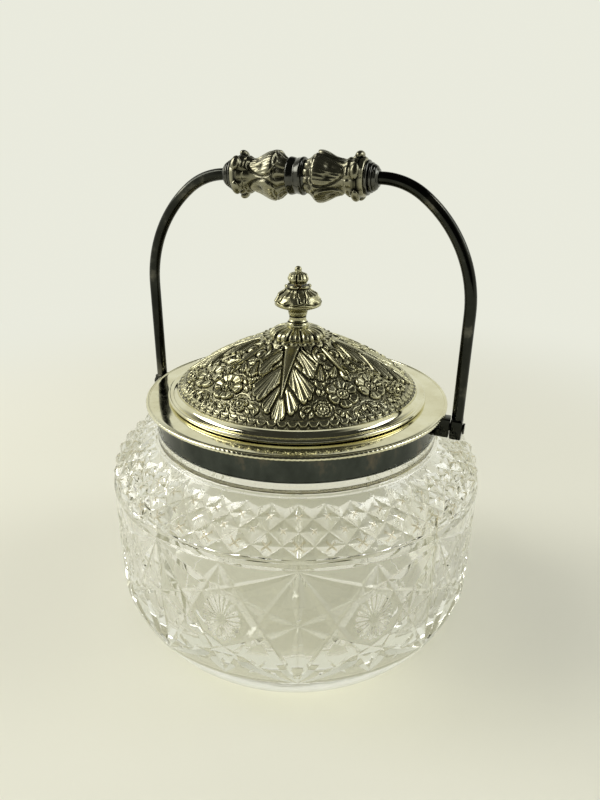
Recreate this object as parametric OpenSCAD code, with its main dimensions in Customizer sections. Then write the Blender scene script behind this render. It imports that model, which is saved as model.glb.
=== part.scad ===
// Cut-glass biscuit jar with a metal collar, a domed lift-off lid and a swing handle.
// Millimetres, Z up. The origin is the centre of the resting face.
// X runs along the handle's pivot axis.

/* [Glass body] */
// Radius of the rounded bottom edge where the jar rests
foot_r = 63; // [56:0.5:66]
// Radius of the widest part
belly_r = 79.5; // [76:0.5:86]
// Height at which the side reaches its full width
belly_h = 26; // [20:1:40]
// Height at which the shoulder starts to turn in
shoulder_start_h = 75; // [75:0.5:79]
// Radius of the ridge at the top of the shoulder
shoulder_top_r = 61.6; // [60.5:0.1:63]
// Height of the ridge at the top of the shoulder
shoulder_top_h = 87.3; // [86:0.1:89]
// Thickness of the glass at the widest part
glass_wall = 6; // [4:0.5:8]
// Thickness of the glass floor
floor_t = 12; // [8:1:16]
// Depth of the ground hollow under the floor
foot_hollow = 1.2; // [0.5:0.1:3]
// Width of the ring that the jar rests on
foot_ring_w = 9; // [6:0.5:12]
// Height of the plain ring between the cut panels and the diamond band
ring_h = 72; // [68:0.1:72]
// Width of the plain ring
ring_w = 1.6; // [1:0.1:1.8]
// Depth of the plain ring
ring_cut = 1.2; // [0.4:0.1:1.2]

/* [Collar] */
// Outer radius of the upright band
band_r = 59.9; // [58.5:0.1:60.5]
// Height of the plain glass neck that shows below the band
neck_show = 4.8; // [3:0.1:6]
// Height of the collar from the band's lower edge to the flange's top face
collar_h = 12.1; // [11:0.1:16]
// Outer radius of the flange with its edge bead
flange_r = 63.7; // [62:0.1:65]
// Thickness of the flange
flange_t = 1.2; // [0.8:0.1:1.8]
// Thickness of the band and of the turned-down lip
sheet_t = 0.9; // [0.6:0.1:1.2]
// Radius of the mouth
mouth_r = 50; // [44:0.5:52]
// Depth of the lip turned down inside the mouth
lip_drop = 5.5; // [3:0.5:7]
// Radius of the reeded edge bead's section
bead_r = 0.8; // [0.5:0.05:1]
// Thickness of the packing between the band and the glass
cement_t = 2.6; // [1.5:0.1:3]

/* [Lid] */
// Outer radius of the rolled rim
rim_r = 54.5; // [52:0.1:58]
// Height of the rim from the flange to the dome's edge
rim_rise = 3.9; // [3:0.1:5]
// Radius of the rolled edge's section
rim_roll_r = 0.85; // [0.5:0.05:1.1]
// Gap between the resting lid and the flange
lid_gap = 0.3; // [0.1:0.05:0.5]
// Depth of the bezel below the rim
bezel_depth = 7.5; // [5:0.5:9]
// Gap between the bezel and the mouth
bezel_gap = 0.4; // [0.3:0.05:1]
// How far the dome's edge lies inside the rim's outer radius
dome_inset = 4.2; // [3.5:0.1:5]
// Rise of the dome from its edge to its flat top
dome_rise = 18.8; // [12:0.1:26]
// Fullness of the dome's curve
dome_power = 1.7; // [1.3:0.05:2.4]
// Thickness of the dome's sheet
dome_t = 1; // [0.7:0.1:1.5]
// Number of scallops round the dome's edge
edge_scallops = 80; // [40:2:90]
// Depth of those scallops
edge_scallop_cut = 0.7; // [0.3:0.05:0.8]

/* [Finial] */
// Radius of the scalloped plate
plate_r = 14.9; // [13:0.1:17]
// Thickness of the plate
plate_t = 1.1; // [0.8:0.1:1.6]
// Radius of the petal rosette
rosette_r = 11.7; // [9:0.1:12.5]
// Height of the rosette
rosette_h = 3.4; // [2:0.1:4.5]
// Height of the stem
stem_len = 6; // [4:0.1:9]
// Radius of the stem's foot
stem_r = 4.65; // [3.8:0.05:6]
// Radius of the stem's waist
waist_r = 3.5; // [2.6:0.05:3.7]
// Greatest radius of the leaf cup
cup_r = 10; // [8:0.1:12]
// Height of the leaf cup
cup_len = 9.6; // [7:0.1:12]
// Outer radius of the bead ring
bead_ring_r = 5.5; // [4.4:0.05:7]
// Height of the bead ring
bead_ring_len = 1.9; // [1.2:0.1:3]
// Radius of the bud
bud_r = 4; // [3.2:0.05:5]
// Height of the bud with its tip
bud_len = 7; // [5:0.1:10]
// Radius of the stud through the finial
stud_r = 1.5; // [1:0.1:2]
// Gap between the stud and what it passes through
stud_gap = 0.05; // [0.02:0.01:0.1]

/* [Handle] */
// Depth of the pivot axis below the flange's top face
pivot_drop = 6; // [5.4:0.1:6.9]
// Distance of each leg from the jar's axis
leg_x = 68.3; // [67.5:0.1:72]
// Diameter of the wire
wire_d = 4.6; // [3.5:0.1:5]
// Straight height of each leg above the pivot
leg_len = 46; // [40:0.5:54]
// Height of the grip's axis above the pivot
grip_rise = 92.6; // [90:0.1:104]
// Half length of the straight top that holds the grips and ferrules
top_half = 31.4; // [31:0.1:34]
// Depth of the foot and of the ear from front to back
foot_d = 5.5; // [4.5:0.1:7]
// Height of the ear that holds the foot
ear_len = 7.8; // [6.5:0.1:8]
// How far the foot reaches below the pivot axis
foot_drop = 4.4; // [3.5:0.1:4.6]
// Gap between the ear and the foot
ear_gap = 0.3; // [0.1:0.05:0.5]
// Radius of the rivet
pin_r = 1.5; // [1:0.05:1.8]
// Running gap round the rivet in the foot
pin_gap = 0.05; // [0.02:0.01:0.1]
// Radius of the rivet's head
head_r = 2.2; // [2:0.1:2.6]
// Thickness of the rivet's head
head_t = 0.7; // [0.4:0.1:1]

/* [Grips] */
// Half length of the centre ring
centre_half = 3.8; // [3:0.1:5]
// Radius of the centre ring
centre_r = 6.9; // [6:0.1:8]
// Radius of the bulb beside the centre ring
bulb_r = 9.4; // [8:0.1:10.5]
// Distance of the bulb from the jar's axis
bulb_x = 8.6; // [7:0.1:10]
// Radius of the grip's waist
grip_waist_r = 6.4; // [5:0.1:7.5]
// Distance of the waist from the jar's axis
grip_waist_x = 18.5; // [16:0.1:20]
// Radius of the end knob
knob_r = 9.2; // [8:0.1:10.5]
// Distance of the end knob from the jar's axis
knob_x = 24; // [22.5:0.1:25]
// Distance of the grip's outer end from the jar's axis
grip_end_x = 26.4; // [26:0.1:27.5]
// Radius of the grip's two ends
grip_end_r = 6.5; // [5.5:0.1:7.5]
// Largest radius of the ferrule
ferrule_r = 6.2; // [5:0.1:7]
// Gap between the wire and what is threaded on it
sleeve_gap = 0.05; // [0.02:0.01:0.1]

/* [Hidden] */
$fn = 96;

glass_colour = [0.86, 0.88, 0.80, 0.55];
plaster_colour = "ivory";
gilt_colour = [0.76, 0.73, 0.58];
silver_colour = [0.62, 0.61, 0.54];
tarnish_colour = [0.20, 0.21, 0.21];

// Curves: the side rises like a superellipse, and the shoulder falls like one
belly_power = 1.45;
shoulder_power = 1.8;
inner_belly_power = 1.8;
inner_shoulder_power = 1.6;
curve_steps = 14;

band_base_h = shoulder_top_h + neck_show;
flange_h = band_base_h + collar_h;
pivot_h = flange_h - pivot_drop;
flange_under_h = flange_h - flange_t;
band_in_r = band_r - sheet_t;
neck_r = band_in_r - cement_t;
neck_seat_r = band_r - sheet_t / 3;
neck_gap = 0.2;
neck_top_h = flange_under_h - 3 * neck_gap;
neck_bore_r = mouth_r + sheet_t + neck_gap;
cavity_r = belly_r - glass_wall;
cavity_foot_r = foot_r - foot_ring_w;
cavity_shoulder_h = shoulder_start_h - glass_wall;
cavity_top_h = shoulder_top_h - 1;
inner_belly_rise = 8;
cavity_belly_h = belly_h + inner_belly_rise;
flange_plate_r = flange_r - 2 * bead_r + 0.2;

bezel_r = mouth_r - bezel_gap;
bezel_in_r = bezel_r - sheet_t;
lid_base_h = flange_h + lid_gap;
dome_base_h = lid_base_h + rim_rise;
dome_r = rim_r - dome_inset;
dome_flat_r = plate_r + 0.1;
dome_top_h = dome_base_h + dome_t + dome_rise;

plate_top_h = dome_top_h + plate_t;
rosette_top_h = plate_top_h + rosette_h;
stem_top_h = rosette_top_h + stem_len;
cup_top_h = stem_top_h + cup_len;
bead_ring_top_h = cup_top_h + bead_ring_len;
bore_r = stud_r + stud_gap;
washer_t = 0.8;
washer_r = 3 * stud_r;
nut_t = 2 * stud_r;
nut_r = 2.4 * stud_r;
stud_tail = 1.5;
stud_reach = 3;
plate_lobes = 24;
plate_lobe_cut = 1;
rosette_lobes = 12;
rosette_lobe_cut = 1.2;
cup_lobes = 6;
cup_lobe_cut = 1.5;
nut_top_h = dome_top_h - dome_t - washer_t;
stud_base_h = nut_top_h - nut_t - stud_tail;
stud_top_h = bead_ring_top_h + stud_reach;

grip_h = pivot_h + grip_rise;
bend_x = leg_x - top_half;
bend_z = grip_rise - leg_len;
// The two bends meet where the wire has the slope of a 3-4-5 triangle, so their ends match exactly
bend_cos = 0.6;
bend_sin = 0.8;
bend_split = acos(bend_cos);
bend_det = (1 - bend_cos) * (1 - bend_sin) - bend_cos * bend_sin;
// The two bend radii that join the leg to the straight top without a kink
low_bend_r = (bend_x * (1 - bend_sin) - bend_z * bend_cos) / bend_det;
high_bend_r = (bend_z * (1 - bend_cos) - bend_x * bend_sin) / bend_det;
foot_w = wire_d;
foot_top_h = pivot_h + ear_len / 2;
ear_end_x = leg_x - foot_w / 2 - ear_gap;
pin_grip = 3.4;
head_gap = 0.2;
pin_start_x = ear_end_x - pin_grip;
pin_end_x = leg_x + foot_w / 2 + head_gap;
sleeve_r = wire_d / 2 + sleeve_gap;

function swell(t, power) = pow(1 - pow(1 - t, power), 1 / power);
function fall(t, power) = pow(1 - pow(t, power), 1 / power);
function dome_z(r) =
    dome_top_h - dome_rise + dome_rise
    * (1 - pow(r / dome_r, dome_power)) / (1 - pow(dome_flat_r / dome_r, dome_power));

// A round outline with rounded lobes, cut in by depth between them
function lobed(r, depth, lobes, steps = 6) = [
    for (i = [0 : lobes * steps - 1])
        let (a = 360 * i / (lobes * steps))
        (r - depth * (1 - abs(cos(lobes * a / 2)))) * [cos(a), sin(a)]
];

// Points of a turned outline that eases from one station to the next
function eased(stations, steps = 6) = [
    for (i = [0 : len(stations) - 2])
        for (k = [0 : (i == len(stations) - 2 ? steps : steps - 1)])
            let (t = k / steps, a = stations[i], b = stations[i + 1])
            [a[0] + (b[0] - a[0]) * (1 - cos(180 * t)) / 2, a[1] + (b[1] - a[1]) * t]
];

module side(s) {
    if (s > 0)
        children();
    else
        mirror([1, 0, 0]) children();
}

// Turns an outline given as [radius, distance along X] round the grip's axis
module turned_along_grip(points) {
    translate([0, 0, grip_h])
        rotate([0, 90, 0])
            rotate_extrude() polygon(points);
}

module glass_jar() {
    outer_side = [
        for (i = [0 : curve_steps])
            let (t = pow(i / curve_steps, 2))
            [foot_r + (belly_r - foot_r) * swell(t, belly_power), belly_h * t]
    ];
    ring = [
        [belly_r, ring_h - ring_cut],
        [belly_r - ring_cut, ring_h],
        [belly_r - ring_cut, ring_h + ring_w],
        [belly_r, ring_h + ring_w + ring_cut]
    ];
    shoulder = [
        for (i = [0 : curve_steps])
            let (t = i / curve_steps)
            [
                shoulder_top_r + (belly_r - shoulder_top_r) * fall(t, shoulder_power),
                shoulder_start_h + (shoulder_top_h - shoulder_start_h) * t
            ]
    ];
    neck = [
        [neck_seat_r, shoulder_top_h + 1.2],
        [neck_seat_r, band_base_h],
        [neck_r, band_base_h],
        [neck_r, neck_top_h],
        [neck_bore_r, neck_top_h]
    ];
    inner_shoulder = [
        for (i = [curve_steps : -1 : 0])
            let (t = i / curve_steps)
            [
                neck_bore_r + (cavity_r - neck_bore_r) * fall(t, inner_shoulder_power),
                cavity_shoulder_h + (cavity_top_h - cavity_shoulder_h) * t
            ]
    ];
    inner_side = [
        for (i = [curve_steps : -1 : 0])
            let (t = pow(i / curve_steps, 2))
            [
                cavity_foot_r + (cavity_r - cavity_foot_r) * swell(t, inner_belly_power),
                floor_t + (cavity_belly_h - floor_t) * t
            ]
    ];
    floor_points = [
        [0, floor_t],
        [0, foot_hollow],
        [foot_r - foot_ring_w - foot_hollow, foot_hollow],
        [foot_r - foot_ring_w, 0]
    ];
    color(glass_colour)
        rotate_extrude()
            polygon(concat(
                outer_side, ring, shoulder, neck, inner_shoulder, inner_side, floor_points
            ));
}

module neck_cement() {
    color(plaster_colour)
        translate([0, 0, band_base_h])
            difference() {
                cylinder(r = band_in_r, h = flange_under_h - band_base_h);
                translate([0, 0, -1])
                    cylinder(r = neck_r, h = flange_under_h - band_base_h + 2);
            }
}

module collar_band() {
    color(tarnish_colour)
        translate([0, 0, band_base_h])
            difference() {
                cylinder(r = band_r, h = flange_under_h - band_base_h);
                translate([0, 0, -1])
                    cylinder(r = band_in_r, h = flange_under_h - band_base_h + 2);
            }
}

module collar_flange() {
    color(gilt_colour)
        rotate_extrude()
            polygon([
                [mouth_r, flange_h],
                [mouth_r, flange_under_h - lip_drop],
                [mouth_r + sheet_t, flange_under_h - lip_drop],
                [mouth_r + sheet_t, flange_under_h],
                [flange_plate_r, flange_under_h],
                [flange_plate_r, flange_h]
            ]);
}

module flange_edge_bead() {
    color(gilt_colour)
        rotate_extrude()
            intersection() {
                translate([flange_r - bead_r, flange_h - flange_t / 2])
                    circle(r = bead_r, $fn = 32);
                translate([flange_plate_r, flange_h - 4 * bead_r])
                    square([4 * bead_r, 8 * bead_r]);
            }
}

module lug() {
    color(tarnish_colour)
        difference() {
            translate([0, -foot_d / 2, pivot_h - ear_len / 2])
                cube([ear_end_x, foot_d, ear_len]);
            translate([0, 0, pivot_h - ear_len])
                cylinder(r = band_r, h = 2 * ear_len);
            translate([pin_start_x, 0, pivot_h])
                rotate([0, 90, 0])
                    cylinder(r = pin_r + pin_gap, h = leg_x, $fn = 48);
        }
}

module lug_left() {
    side(-1) lug();
}

module lug_right() {
    side(1) lug();
}

module pivot_pin() {
    translate([pin_start_x, 0, pivot_h])
        rotate([0, 90, 0]) {
            cylinder(r = pin_r, h = pin_end_x - pin_start_x, $fn = 48);
            translate([0, 0, pin_end_x - pin_start_x])
                cylinder(r = head_r, h = head_t, $fn = 48);
        }
}

module pivot_pins() {
    color(tarnish_colour) {
        side(-1) pivot_pin();
        side(1) pivot_pin();
    }
}

module foot() {
    color(tarnish_colour)
        difference() {
            translate([leg_x - foot_w / 2, -foot_d / 2, pivot_h - foot_drop])
                cube([foot_w, foot_d, foot_drop + ear_len / 2]);
            translate([leg_x - foot_w, 0, pivot_h])
                rotate([0, 90, 0])
                    cylinder(r = pin_r + pin_gap, h = 2 * foot_w, $fn = 48);
        }
}

module foot_left() {
    side(-1) foot();
}

module foot_right() {
    side(1) foot();
}

// A quarter turn of the wire in the handle's plane, cut where the two bends meet.
// side_y is -1 for the part below the cut and 0 for the part above it.
module wire_bend(x, z, r, side_y) {
    reach = r + wire_d;
    translate([x, 0, z])
        rotate([90, 0, 0])
            intersection() {
                rotate_extrude(angle = 90)
                    translate([r, 0]) circle(d = wire_d, $fn = 48);
                rotate([0, 0, bend_split])
                    translate([0, side_y * reach, -wire_d])
                        cube([reach, reach, 2 * wire_d]);
            }
}

module bail_half() {
    translate([leg_x, 0, foot_top_h])
        cylinder(d = wire_d, h = pivot_h + leg_len - foot_top_h, $fn = 48);
    wire_bend(leg_x - low_bend_r, pivot_h + leg_len, low_bend_r, -1);
    wire_bend(top_half, grip_h - high_bend_r, high_bend_r, 0);
}

module bail_wire() {
    color(tarnish_colour) {
        side(-1) bail_half();
        side(1) bail_half();
        translate([-top_half, 0, grip_h])
            rotate([0, 90, 0])
                cylinder(d = wire_d, h = 2 * top_half, $fn = 48);
    }
}

module ferrule() {
    step_x = (top_half - grip_end_x) / 3;
    small_r = (ferrule_r + wire_d) / 2 - 0.6;
    color(silver_colour)
        turned_along_grip([
            [sleeve_r, grip_end_x],
            [ferrule_r, grip_end_x],
            [ferrule_r, grip_end_x + 0.8 * step_x],
            [ferrule_r - 0.9, grip_end_x + step_x],
            [ferrule_r - 0.9, grip_end_x + 2 * step_x],
            [small_r, grip_end_x + 2.2 * step_x],
            [sleeve_r + 0.8, top_half - 0.1],
            [sleeve_r, top_half - 0.1]
        ]);
}

module ferrule_left() {
    side(-1) ferrule();
}

module ferrule_right() {
    side(1) ferrule();
}

module grip() {
    outline = eased([
        [grip_end_r, centre_half],
        [bulb_r, bulb_x],
        [grip_waist_r, grip_waist_x],
        [knob_r, knob_x],
        [grip_end_r, grip_end_x]
    ]);
    color(silver_colour)
        turned_along_grip(concat(
            [[sleeve_r, grip_end_x], [sleeve_r, centre_half]],
            outline
        ));
}

module grip_left() {
    side(-1) grip();
}

module grip_right() {
    side(1) grip();
}

module grip_centre_ring() {
    edge = 0.7;
    color(silver_colour)
        turned_along_grip([
            [sleeve_r, -centre_half],
            [centre_r - edge, -centre_half],
            [centre_r, edge - centre_half],
            [centre_r, centre_half - edge],
            [centre_r - edge, centre_half],
            [sleeve_r, centre_half]
        ]);
}

module lid_dome() {
    outer = [
        for (i = [0 : curve_steps])
            let (r = dome_r + (dome_flat_r - dome_r) * i / curve_steps)
            [r, dome_z(r)]
    ];
    inner = [
        for (i = [curve_steps : -1 : 0])
            let (r = dome_r + (dome_flat_r - dome_r) * i / curve_steps)
            [r, dome_z(r) - dome_t]
    ];
    color(gilt_colour)
        difference() {
            intersection() {
                rotate_extrude()
                    polygon(concat(
                        outer, [[0, dome_top_h], [0, dome_top_h - dome_t]], inner
                    ));
                translate([0, 0, dome_base_h - 1])
                    linear_extrude(dome_rise + 4)
                        polygon(lobed(dome_r, edge_scallop_cut, edge_scallops, 4));
            }
            translate([0, 0, dome_base_h])
                cylinder(r = bore_r, h = 2 * dome_rise, $fn = 48);
        }
}

module lid_rim() {
    roll_h = lid_base_h + rim_roll_r;
    cove_r = rim_r - 2 * rim_roll_r;
    cove_steps = 6;
    roll = [
        for (a = [-90 : 22.5 : 90])
            [rim_r - rim_roll_r + rim_roll_r * cos(a), roll_h + rim_roll_r * sin(a)]
    ];
    cove = [
        for (i = [0 : cove_steps])
            let (a = 90 * i / cove_steps)
            [
                dome_r + (cove_r - dome_r) * (1 - sin(a)),
                dome_base_h - (dome_base_h - roll_h - rim_roll_r / 2) * cos(a)
            ]
    ];
    color(gilt_colour)
        rotate_extrude()
            polygon(concat(
                [[bezel_in_r, lid_base_h]], roll, cove,
                [[bezel_in_r, dome_base_h]]
            ));
}

module lid_bezel() {
    color(gilt_colour)
        translate([0, 0, lid_base_h - bezel_depth])
            difference() {
                cylinder(r = bezel_r, h = bezel_depth);
                translate([0, 0, -1])
                    cylinder(r = bezel_in_r, h = bezel_depth + 2);
            }
}

module finial_plate() {
    color(gilt_colour)
        translate([0, 0, dome_top_h])
            difference() {
                linear_extrude(plate_t) polygon(lobed(plate_r, plate_lobe_cut, plate_lobes));
                translate([0, 0, -1])
                    cylinder(r = bore_r, h = plate_t + 2, $fn = 48);
            }
}

module finial_rosette() {
    crown = [
        for (a = [0 : 9 : 90])
            [stem_r + (rosette_r - stem_r) * cos(a), rosette_h * sin(a)]
    ];
    color(gilt_colour)
        translate([0, 0, plate_top_h])
            intersection() {
                rotate_extrude()
                    polygon(concat([[bore_r, 0]], crown, [[bore_r, rosette_h]]));
                linear_extrude(rosette_h) polygon(lobed(rosette_r, rosette_lobe_cut, rosette_lobes));
            }
}

module finial_stem() {
    outline = eased([
        [stem_r, 0],
        [waist_r, stem_len / 2],
        [waist_r + 0.5, stem_len]
    ]);
    color(gilt_colour)
        translate([0, 0, rosette_top_h])
            rotate_extrude()
                polygon(concat([[bore_r, stem_len], [bore_r, 0]], outline));
}

module finial_cup() {
    outline = eased([
        [waist_r + 0.5, 0],
        [cup_r, cup_len / 2],
        [bead_ring_r, cup_len]
    ], 8);
    color(gilt_colour)
        translate([0, 0, stem_top_h])
            intersection() {
                rotate_extrude()
                    polygon(concat([[bore_r, cup_len], [bore_r, 0]], outline));
                linear_extrude(cup_len) polygon(lobed(cup_r, cup_lobe_cut, cup_lobes, 8));
            }
}

module finial_bead_ring() {
    bulge = bead_ring_len / 2;
    color(gilt_colour)
        translate([0, 0, cup_top_h])
            rotate_extrude()
                polygon(concat(
                    [[bore_r, 0]],
                    [
                        for (a = [-90 : 22.5 : 90])
                            [bead_ring_r - bulge + bulge * cos(a), bulge + bulge * sin(a)]
                    ],
                    [[bore_r, bead_ring_len]]
                ));
}

module finial_bud() {
    tip_r = 1.5;
    bud_top = bud_len - 2 * tip_r;
    color(gilt_colour)
        translate([0, 0, bead_ring_top_h])
            difference() {
                union() {
                    rotate_extrude()
                        polygon(concat(
                            [[0, 0]],
                            eased([[bud_r - 1, 0], [bud_r, bud_top / 2], [tip_r * 0.7, bud_top + tip_r / 2]]),
                            [[0, bud_top + tip_r / 2]]
                        ));
                    translate([0, 0, bud_len - tip_r])
                        sphere(r = tip_r, $fn = 32);
                }
                translate([0, 0, -1])
                    cylinder(r = bore_r, h = stud_reach + 1, $fn = 48);
            }
}

module finial_stud() {
    color(silver_colour)
        translate([0, 0, stud_base_h])
            cylinder(r = stud_r, h = stud_top_h - stud_base_h, $fn = 48);
}

module finial_washer() {
    color(silver_colour)
        translate([0, 0, nut_top_h])
            difference() {
                cylinder(r = washer_r, h = washer_t);
                translate([0, 0, -1])
                    cylinder(r = bore_r, h = washer_t + 2, $fn = 48);
            }
}

module finial_nut() {
    color(silver_colour)
        translate([0, 0, nut_top_h - nut_t])
            difference() {
                cylinder(r = nut_r, h = nut_t, $fn = 6);
                translate([0, 0, -1])
                    cylinder(r = bore_r, h = nut_t + 2, $fn = 48);
            }
}

glass_jar();
neck_cement();
collar_band();
collar_flange();
flange_edge_bead();
lug_left();
lug_right();
pivot_pins();
bail_wire();
foot_left();
foot_right();
ferrule_left();
ferrule_right();
grip_left();
grip_right();
grip_centre_ring();
lid_dome();
lid_rim();
lid_bezel();
finial_plate();
finial_rosette();
finial_stem();
finial_cup();
finial_bead_ring();
finial_bud();
finial_stud();
finial_washer();
finial_nut();
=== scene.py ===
"""Looks of a cut-glass biscuit jar with a metal collar, a raised lid and a swing handle.

Everything is in metres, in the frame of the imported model. Lengths that are easier to read in
millimetres are written as a number times MM.
"""
import math

import bmesh
import bpy
import numpy as np
from mathutils import Matrix, Vector, geometry


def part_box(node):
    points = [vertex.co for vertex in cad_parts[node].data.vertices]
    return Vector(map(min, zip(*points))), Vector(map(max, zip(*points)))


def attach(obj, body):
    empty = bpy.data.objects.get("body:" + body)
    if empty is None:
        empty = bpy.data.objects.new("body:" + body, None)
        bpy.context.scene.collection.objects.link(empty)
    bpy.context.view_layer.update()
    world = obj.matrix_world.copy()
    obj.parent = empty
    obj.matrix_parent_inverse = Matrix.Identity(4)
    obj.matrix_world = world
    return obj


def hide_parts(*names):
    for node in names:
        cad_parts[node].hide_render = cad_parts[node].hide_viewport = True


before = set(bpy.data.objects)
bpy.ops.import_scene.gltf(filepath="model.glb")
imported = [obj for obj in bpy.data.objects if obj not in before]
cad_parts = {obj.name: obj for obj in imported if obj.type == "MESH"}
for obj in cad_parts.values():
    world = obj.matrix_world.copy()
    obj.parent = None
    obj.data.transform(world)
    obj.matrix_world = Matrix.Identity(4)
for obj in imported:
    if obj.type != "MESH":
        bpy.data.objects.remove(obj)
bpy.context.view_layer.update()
MM = 0.001
TAU = 2 * math.pi


# ---------------------------------------------------------------- places taken from the frame

def top(node):
    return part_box(node)[1].z


def base(node):
    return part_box(node)[0].z


def reach(node):
    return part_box(node)[1].x


GLASS_R = reach("glass_jar")
BAND_R = reach("collar_band")
BAND_BASE = base("collar_band")
FLANGE_TOP = top("collar_flange")
FLANGE_UNDER = top("collar_band")
GRIP_AXIS = (base("grip_left") + top("grip_left")) / 2


# ---------------------------------------------------------------- small mesh helpers

def link_mesh(name, verts, faces, body, material, sharp_angle=None):
    """A new piece from its points and faces, riding on a body, with its material."""
    mesh = bpy.data.meshes.new(name)
    mesh.from_pydata([tuple(v) for v in verts], [], [tuple(f) for f in faces])
    mesh.validate()
    mesh.polygons.foreach_set("use_smooth", [True] * len(mesh.polygons))
    if sharp_angle is not None:
        mesh.set_sharp_from_angle(angle=sharp_angle)
    piece = bpy.data.objects.new(name, mesh)
    bpy.context.scene.collection.objects.link(piece)
    mesh.materials.append(material)
    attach(piece, body)
    return piece


def weld(piece, distance):
    """Joins points that lie on each other."""
    mesh = bmesh.new()
    mesh.from_mesh(piece.data)
    bmesh.ops.remove_doubles(mesh, verts=mesh.verts, dist=distance)
    mesh.to_mesh(piece.data)
    mesh.free()


def paint(piece, name, values):
    """Stores one number per point, for the material to read."""
    layer = piece.data.attributes.new(name, "FLOAT", "POINT")
    layer.data.foreach_set("value", np.asarray(values, np.float32).ravel())


def ring(r, z, angle):
    """Points at a radius and a height for each angle."""
    return np.c_[r * np.cos(angle), r * np.sin(angle), np.broadcast_to(z, angle.shape)]


def ring_faces(rows, cols, closed=False):
    """Quads between rows of points that close round on themselves. Closed, the last row joins the first."""
    faces = []
    for i in range(rows if closed else rows - 1):
        a, b = i * cols, (i + 1) % rows * cols
        for j in range(cols):
            k = (j + 1) % cols
            faces.append((a + j, a + k, b + k, b + j))
    return faces


def lathe(name, node, profile, body, material, cols=256, sharp_angle=math.radians(35)):
    """A turned piece in place of a node, from a closed outline of (radius, height) in millimetres."""
    angle = np.arange(cols) * TAU / cols
    verts = np.concatenate([ring(r * MM, z * MM, angle) for r, z in profile])
    faces = ring_faces(len(profile), cols, closed=True)
    piece = link_mesh(name, verts, faces, body, material, sharp_angle)
    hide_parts(node)


def arc(cx, cz, r, start, end, steps):
    """Points on a round stretch of an outline, angles in degrees."""
    return [
        (cx + r * math.cos(math.radians(a)), cz + r * math.sin(math.radians(a)))
        for a in np.linspace(start, end, steps)
    ]


# ---------------------------------------------------------------- shapes of relief

def unit(x):
    return np.clip(x, 0, 1)


def tent(x, reach):
    """1 at 0, falling straight to 0 at the reach."""
    return unit(1 - np.abs(x) / reach)


def hump(x, width):
    """1 at 0, falling smoothly to nothing beyond about twice the width."""
    return np.exp(-(x / width) ** 2)


def bowl(x):
    """A round hump over -1 to 1."""
    return np.sqrt(unit(1 - x * x))


def wave(turns):
    """A ripple from 0 to 1 and back once a turn."""
    return 0.5 - 0.5 * np.cos(TAU * turns)


# ---------------------------------------------------------------- camera

LENS = 27.0
SENSOR = 36.0
CAMERA_PLACE = Vector((87.9, -225.44, 198.55)) * MM
CAMERA_AZIMUTH = math.radians(21.3)
CAMERA_PITCH = 0.389352
CAMERA_ROLL = 0.01162
CAMERA_YAW = -0.00539


def make_camera():
    """The photograph's view, from the fitted camera."""
    right, up, ahead = (
        Vector((1, 0, 0)),
        Vector((0, math.sin(CAMERA_PITCH), math.cos(CAMERA_PITCH))),
        Vector((0, math.cos(CAMERA_PITCH), -math.sin(CAMERA_PITCH))),
    )
    c, s = math.cos(CAMERA_ROLL), math.sin(CAMERA_ROLL)
    turn = Matrix.Rotation(CAMERA_AZIMUTH + CAMERA_YAW, 3, "Z")
    x = turn @ (c * right + s * up)
    y = turn @ (-s * right + c * up)
    z = turn @ -ahead
    data = bpy.data.cameras.new("photo_camera")
    data.sensor_fit = "AUTO"
    data.sensor_width = SENSOR
    data.lens = LENS
    data.clip_start = 0.01
    camera = bpy.data.objects.new("photo_camera", data)
    camera.matrix_world = Matrix.Translation(CAMERA_PLACE) @ Matrix((x, y, z)).transposed().to_4x4()
    bpy.context.scene.collection.objects.link(camera)
    bpy.context.scene.camera = camera


# ---------------------------------------------------------------- materials

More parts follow.
